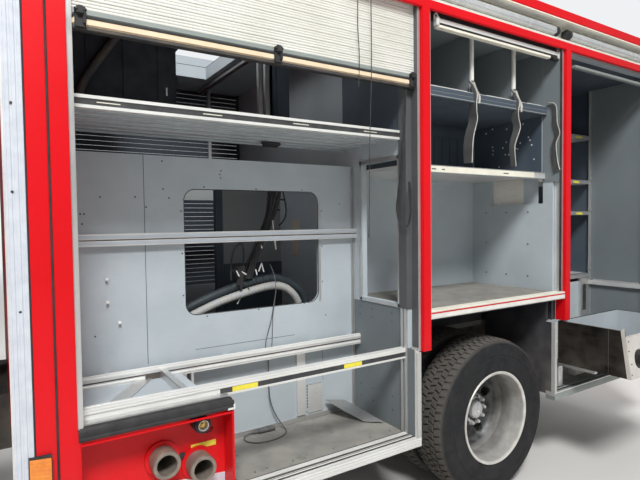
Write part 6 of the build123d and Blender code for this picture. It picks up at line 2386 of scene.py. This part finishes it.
# Steps: treads with grip studs, edge strips
for hand, side in HANDS:
    y = on_side(side)
    treads = Shape()
    spots = []
    for rear, front in ((3.135, 3.64), (1.12, 1.78)):
        for z in (0.46, 0.67):
            treads.slab((rear + 0.044, front - 0.044), y(1.096, 1.232), (z, z + 0.005), 0.0015)
            treads.slab((rear + 0.04, front - 0.04), y(1.225, 1.2365), (z - 0.018, z + 0.006), 0.003)
            count = int((front - rear - 0.12) / 0.042)
            spots += [
                (rear + 0.07 + 0.042 * i, side * (1.112 + 0.028 * j), z + 0.005)
                for i in range(count)
                for j in range(4)
            ]
    piece(treads, f"step_treads_{hand}", material="anodised")
    fix(STUD, spots, f"step_studs_{hand}", "up", size=1.3)

# Cab inside: seats as stuffed cushions, dashboard, steering wheel
SEAT_VOXEL = 0.014
SEAT_SWELL = 0.014
SEAT_FRAMES = 20


def cushion(x, y, z, name, crown=0.012):
    """A stuffed cushion between limits, with sides that pull in and a soft swell."""
    made = bpy.data.objects.new(
        name + "_blank",
        Shape().slab(
            *[(low + SEAT_SWELL, high - SEAT_SWELL) for low, high in (x, y, z)], ease=0.024,
        ).mesh_data(name + "_blank"),
    )
    bpy.context.collection.objects.link(made)
    remesh = made.modifiers.new("remesh", "REMESH")
    remesh.mode = "VOXEL"
    remesh.voxel_size = SEAT_VOXEL
    bpy.context.view_layer.update()
    graph = bpy.context.evaluated_depsgraph_get()
    data = bpy.data.meshes.new_from_object(made.evaluated_get(graph))
    made.modifiers.clear()
    made.data = data
    rest = [vert.co.copy() for vert in data.vertices]
    cloth = made.modifiers.new("stuffing", "CLOTH")
    cloth.settings.use_pressure = True
    cloth.settings.uniform_pressure_force = 4
    cloth.settings.effector_weights.gravity = 0
    for frame_number in range(1, SEAT_FRAMES + 1):
        bpy.context.scene.frame_set(frame_number)
    swollen = bpy.data.meshes.new_from_object(
        made.evaluated_get(bpy.context.evaluated_depsgraph_get()),
    )
    made.modifiers.clear()
    bpy.context.scene.frame_set(1)
    for vert, start in zip(swollen.vertices, rest):
        move = vert.co - start
        if move.length > crown:
            move = move.normalized() * crown
        vert.co = start + move
    data = swollen
    bpy.data.objects.remove(made)
    return data


def seat_part(x, y, z, name):
    """A cushion with its piping, as a padded piece."""
    data = cushion(x, y, z, name)
    made = show(data, name, "cab", "seat_cloth", 60)
    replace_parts(made, "cab_seats")
    piping = Shape()
    low, high = z[0] + 0.5 * (z[1] - z[0]) - 0.004, z[0] + 0.5 * (z[1] - z[0]) + 0.004
    if z[1] - z[0] < 0.2:
        outline = rounded((x[0] + 0.012, x[1] - 0.012), (y[0] + 0.012, y[1] - 0.012), 0.03, TRIM_STEPS)
        line = [(a, b, (low + high) / 2) for a, b in outline]
    else:
        outline = rounded((y[0] + 0.012, y[1] - 0.012), (z[0] + 0.012, z[1] - 0.012), 0.03, TRIM_STEPS)
        line = [((x[0] + x[1]) / 2, a, b) for a, b in outline]
    piping.tube(line + line[:1], 0.0042, 8)
    piece(piping, name + "_piping", "cab", "rubber_black")


for hand, side in HANDS:
    y = on_side(side)
    inner, outer = sorted(y(0.565, 1.015))
    seat_part((2.724, 3.172), (inner, outer), (1.236, 1.368), f"front_seat_{hand}")
    seat_part((2.614, 2.717), (inner, outer), (1.376, 1.85), f"front_back_{hand}")
    seat_part(
        (2.618, 2.704), (side * 0.79 - 0.11, side * 0.79 + 0.11), (1.866, 2.006), f"front_headrest_{hand}",
    )
for number, middle in enumerate((-0.7, 0.0, 0.7), 1):
    seat_part((1.246, 1.616), (middle - 0.344, middle + 0.344), (1.322, 1.428), f"bench_seat_{number}")
    seat_part((1.134, 1.238), (middle - 0.344, middle + 0.344), (1.436, 1.85), f"bench_back_{number}")
    seat_part((1.138, 1.224), (middle - 0.11, middle + 0.11), (1.866, 2.006), f"bench_headrest_{number}")
stands = Shape()
for side in (1, -1):
    stands.slab((2.764, 3.076), (side * 0.594, side * 0.846), (1.031, 1.232), 0.012)
    stands.slab((2.74, 3.14), (side * 0.6, side * 0.99), (1.224, 1.238), 0.004)
    for y in (0.74, 0.84):
        stands.rod((2.661, side * y, 1.835), (2.661, side * y, 1.875), 0.007, 12)
stands.slab((1.204, 1.612), (-1.046, 1.046), (1.031, 1.32), 0.01)
for middle in (-0.7, 0.0, 0.7):
    for y in (-0.05, 0.05):
        stands.rod((1.181, middle + y, 1.835), (1.181, middle + y, 1.875), 0.007, 12)
piece(stands, "seat_stands", "cab", "black_plastic")

dash = Shape()
dash.run(
    [
        (3.798, 1.422), (3.58, 1.422), (3.528, 1.48), (3.523, 1.59), (3.56, 1.65), (3.64, 1.684),
        (3.798, 1.688),
    ],
    (0, -1.008, 0), (0, 1.008, 0), (1, 0, 0), (0, 0, 1),
)
dash.slab((3.522, 3.64), (0.43, 0.85), (1.6, 1.689), 0.02)
dash.rod((3.345, 0.64, 1.648), (3.56, 0.64, 1.48), 0.024, 20, 0.004)
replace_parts(piece(dash, "dashboard_top", "cab", "black_plastic"), "dashboard")
dials = Shape()
dials.slab((3.5205, 3.5235), (0.46, 0.82), (1.606, 1.672), 0.001)
dials.slab((3.5195, 3.525), (-0.14, 0.14), (1.5, 1.59), 0.003)
for y in (-0.88, -0.72, 0.3, 0.93):
    dials.slab((3.5195, 3.526), (y - 0.06, y + 0.06), (1.52, 1.585), 0.004)
piece(dials, "dashboard_screens", "cab", "recess_dark")
tilt = Vector((-0.79, 0, 0.61)).normalized()
flat, across = Vector((0.61, 0, 0.79)).normalized(), Vector((0, 1, 0))
hub = Vector((3.33, 0.64, 1.66))
wheel_shape = Shape()
rim = [hub + (flat * cos(2 * pi * k / 40) + across * sin(2 * pi * k / 40)) * 0.215 for k in range(41)]
wheel_shape.tube(rim, 0.0145, 10)
wheel_shape.rod(hub - tilt * 0.016, hub + tilt * 0.014, 0.052, 28, 0.006)
for angle in (0, 180, 250, 290):
    reach = flat * sin(radians(angle)) + across * cos(radians(angle))
    wheel_shape.run(
        [(-0.016, -0.004), (0.016, -0.004), (0.013, 0.004), (-0.013, 0.004)], hub + reach * 0.04,
        hub + reach * 0.208, reach.cross(tilt), tilt,
    )
piece(wheel_shape, "steering_wheel", "cab", "rubber_black")

# Rear: shutter, its bar and frame, taped corners, blank plate, feet of the ladder
rear_slat = Shape()
outline = [(-0.004, 0.0005), (-0.004, 0.0385)]
for rib in range(3):
    top = 0.0385 - rib * 0.0128
    outline += [
        (0.003, top), (0.0052, top - 0.0025), (0.0055, top - 0.006), (0.0046, top - 0.0095),
        (0.0024, top - 0.0115),
    ]
rear_slat.run(outline, (0, -0.638, 0), (0, 0.638, 0), (-1, 0, 0), (0, 0, 1))
made = repeat(
    part_object(rear_slat, "rear_slat"), 39, (-3.858, 0, 1.16), (0, 0, SLAT_STEP), "rear_curtain", "root",
    "shutter_slats",
)
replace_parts(made, "closed_shutters")
piece(
    slabs(
        ((-3.8735, -3.843), (-0.639, 0.639), (1.082, 1.1), 0.003),
        ((-3.874, -3.842), (-0.639, 0.639), (1.138, 1.16), 0.004),
    ),
    "rear_bar_rails", material="anodised",
)
piece(
    Shape().slab((-3.874, -3.843), (-0.639, 0.639), (1.099, 1.139), 0.006), "rear_bar_band",
    material="cream_strip",
)
latch = Shape()
for y in (-0.6, 0.0, 0.6):
    latch.slab((-3.883, -3.872), (y - 0.026, y + 0.026), (1.094, 1.134), 0.004)
piece(latch, "rear_bar_latches", material="rubber_black")
rear_frame = Shape()
for side in (1, -1):
    rear_frame.slab((-3.886, -3.855), (side * 0.64, side * 0.676), (1.078, 2.736), 0.003)
rear_frame.slab((-3.886, -3.879), (-0.676, 0.676), (2.7, 2.736), 0.003)
rear_frame.slab((-3.888, -3.879), (-0.676, 0.676), (1.046, 1.08), 0.003)
piece(rear_frame, "rear_frame", material="anodised_upright")
tapes = Shape()
for side in (1, -1):
    tapes.slab((-3.8835, -3.879), (side * 1.186, side * 1.246), (0.62, 2.96), 0.001)
tapes.slab((-3.8835, -3.879), (-0.7, 0.7), (0.96, 1.02), 0.001)
piece(tapes, "rear_tapes", material="honeycomb_tape")
piece(
    Shape().slab((-3.89, -3.879), (-0.27, 0.27), (0.78, 0.905), 0.003), "plate_holder",
    material="black_plastic",
)
piece(
    Shape().slab((-3.8925, -3.8895), (-0.258, 0.258), (0.788, 0.897), 0.001), "blank_plate",
    material="white_peg",
)
feet = Shape()
for y in (-1.12, -0.76):
    for z in (1.02, 2.06, 2.94):
        feet.slab((-3.899, -3.879), (y - 0.028, y + 0.028), (z - 0.02, z + 0.02), 0.004)
piece(feet, "ladder_feet", material="anodised")
fix(
    BOLT, [(-3.899, y + 0.022, z) for y in (-1.12, -0.76) for z in (1.02, 2.06, 2.94)], "ladder_bolts",
    "back", size=0.5,
)
rung_grips = Shape()
for rung in range(9):
    z = 0.76 + 0.28 * rung
    for k in range(12):
        y = -1.085 + 0.0264 * k
        rung_grips.rod((-3.89, y, z), (-3.89, y + 0.012, z), 0.0098, 14, 0.0006)
piece(rung_grips, "rung_grips", material="zinc_screw")

# Roof: deck panels, hatch rim and gallery rivets
deck = Shape()
for rear, front in ((-3.8, -3.02), (-3.0, -2.22), (-2.2, -1.42), (-1.4, -0.6), (0.245, 0.87)):
    for low, high in ((-0.865, -0.01), (0.01, 0.865)):
        deck.slab((rear, front), (low, high), (3.0085, 3.0125), 0.0015)
piece(deck, "deck_mats", material="recess_dark")
rim_trim = Shape()
for y0 in (0.768, -0.792):
    rim_trim.slab((-0.58, 0.226), (y0, y0 + 0.024), (3.076, 3.088), 0.004)
for x0 in (-0.578, 0.2):
    rim_trim.slab((x0, x0 + 0.024), (-0.79, 0.79), (3.076, 3.088), 0.004)
piece(rim_trim, "hatch_rim", material="rubber_black")
for hand, side in HANDS:
    fix(
        RIVET, [(-3.75 + 0.15 * i, side * 0.935, 3.19) for i in range(31)], f"gallery_rivets_{hand}", "up",
    )
    fix(
        RIVET, [(-3.75 + 0.15 * i, side * 1.11, 3.19) for i in range(31)], f"gallery_rivets_outer_{hand}",
        "up",
    )

# Step flaps: tape and pulls; frame rail bolts; tank straps
for name, rear, front, top in (("front", -1.006, 0.077, 1.04), ("rear", -3.749, -2.353, 1.05)):
    body = f"flap_{name}"
    piece(
        Shape().slab((rear + 0.02, front - 0.02), (-1.2515, -1.249), (0.62, 0.68), 0.0008),
        f"flap_tape_{name}", body, "honeycomb_tape",
    )
    pulls = Shape()
    for x in (rear + 0.16, front - 0.16):
        pulls.slab((x - 0.055, x + 0.055), (-1.253, -1.249), (top - 0.09, top - 0.045), 0.006)
    piece(pulls, f"flap_pulls_{name}", body, "rubber_black")
for hand, side in HANDS:
    y = on_side(side)
    facing = "left" if side > 0 else "right"
    spots = [
        (x, side * 0.425, z)
        for x in (-3.6, -3.3, -3.0, -2.7, -2.2, -1.1, -0.1, 1.0, 1.3, 1.6, 3.3, 3.5)
        for z in (0.735, 0.895)
    ]
    fix(BOLT, spots, f"rail_bolts_{hand}", facing, size=1.2)
    straps_shape = Shape()
    for x in (0.25, 0.73):
        straps_shape.slab((x - 0.02, x + 0.02), y(0.4255, 0.6435), (0.8985, 0.9035), 0.001)
        straps_shape.slab((x - 0.02, x + 0.02), y(0.6385, 0.6435), (0.597, 0.9035), 0.001)
        straps_shape.slab((x - 0.02, x + 0.02), y(0.4255, 0.6435), (0.5965, 0.6015), 0.001)
    piece(straps_shape, f"tank_straps_{hand}", material="chassis_grey")
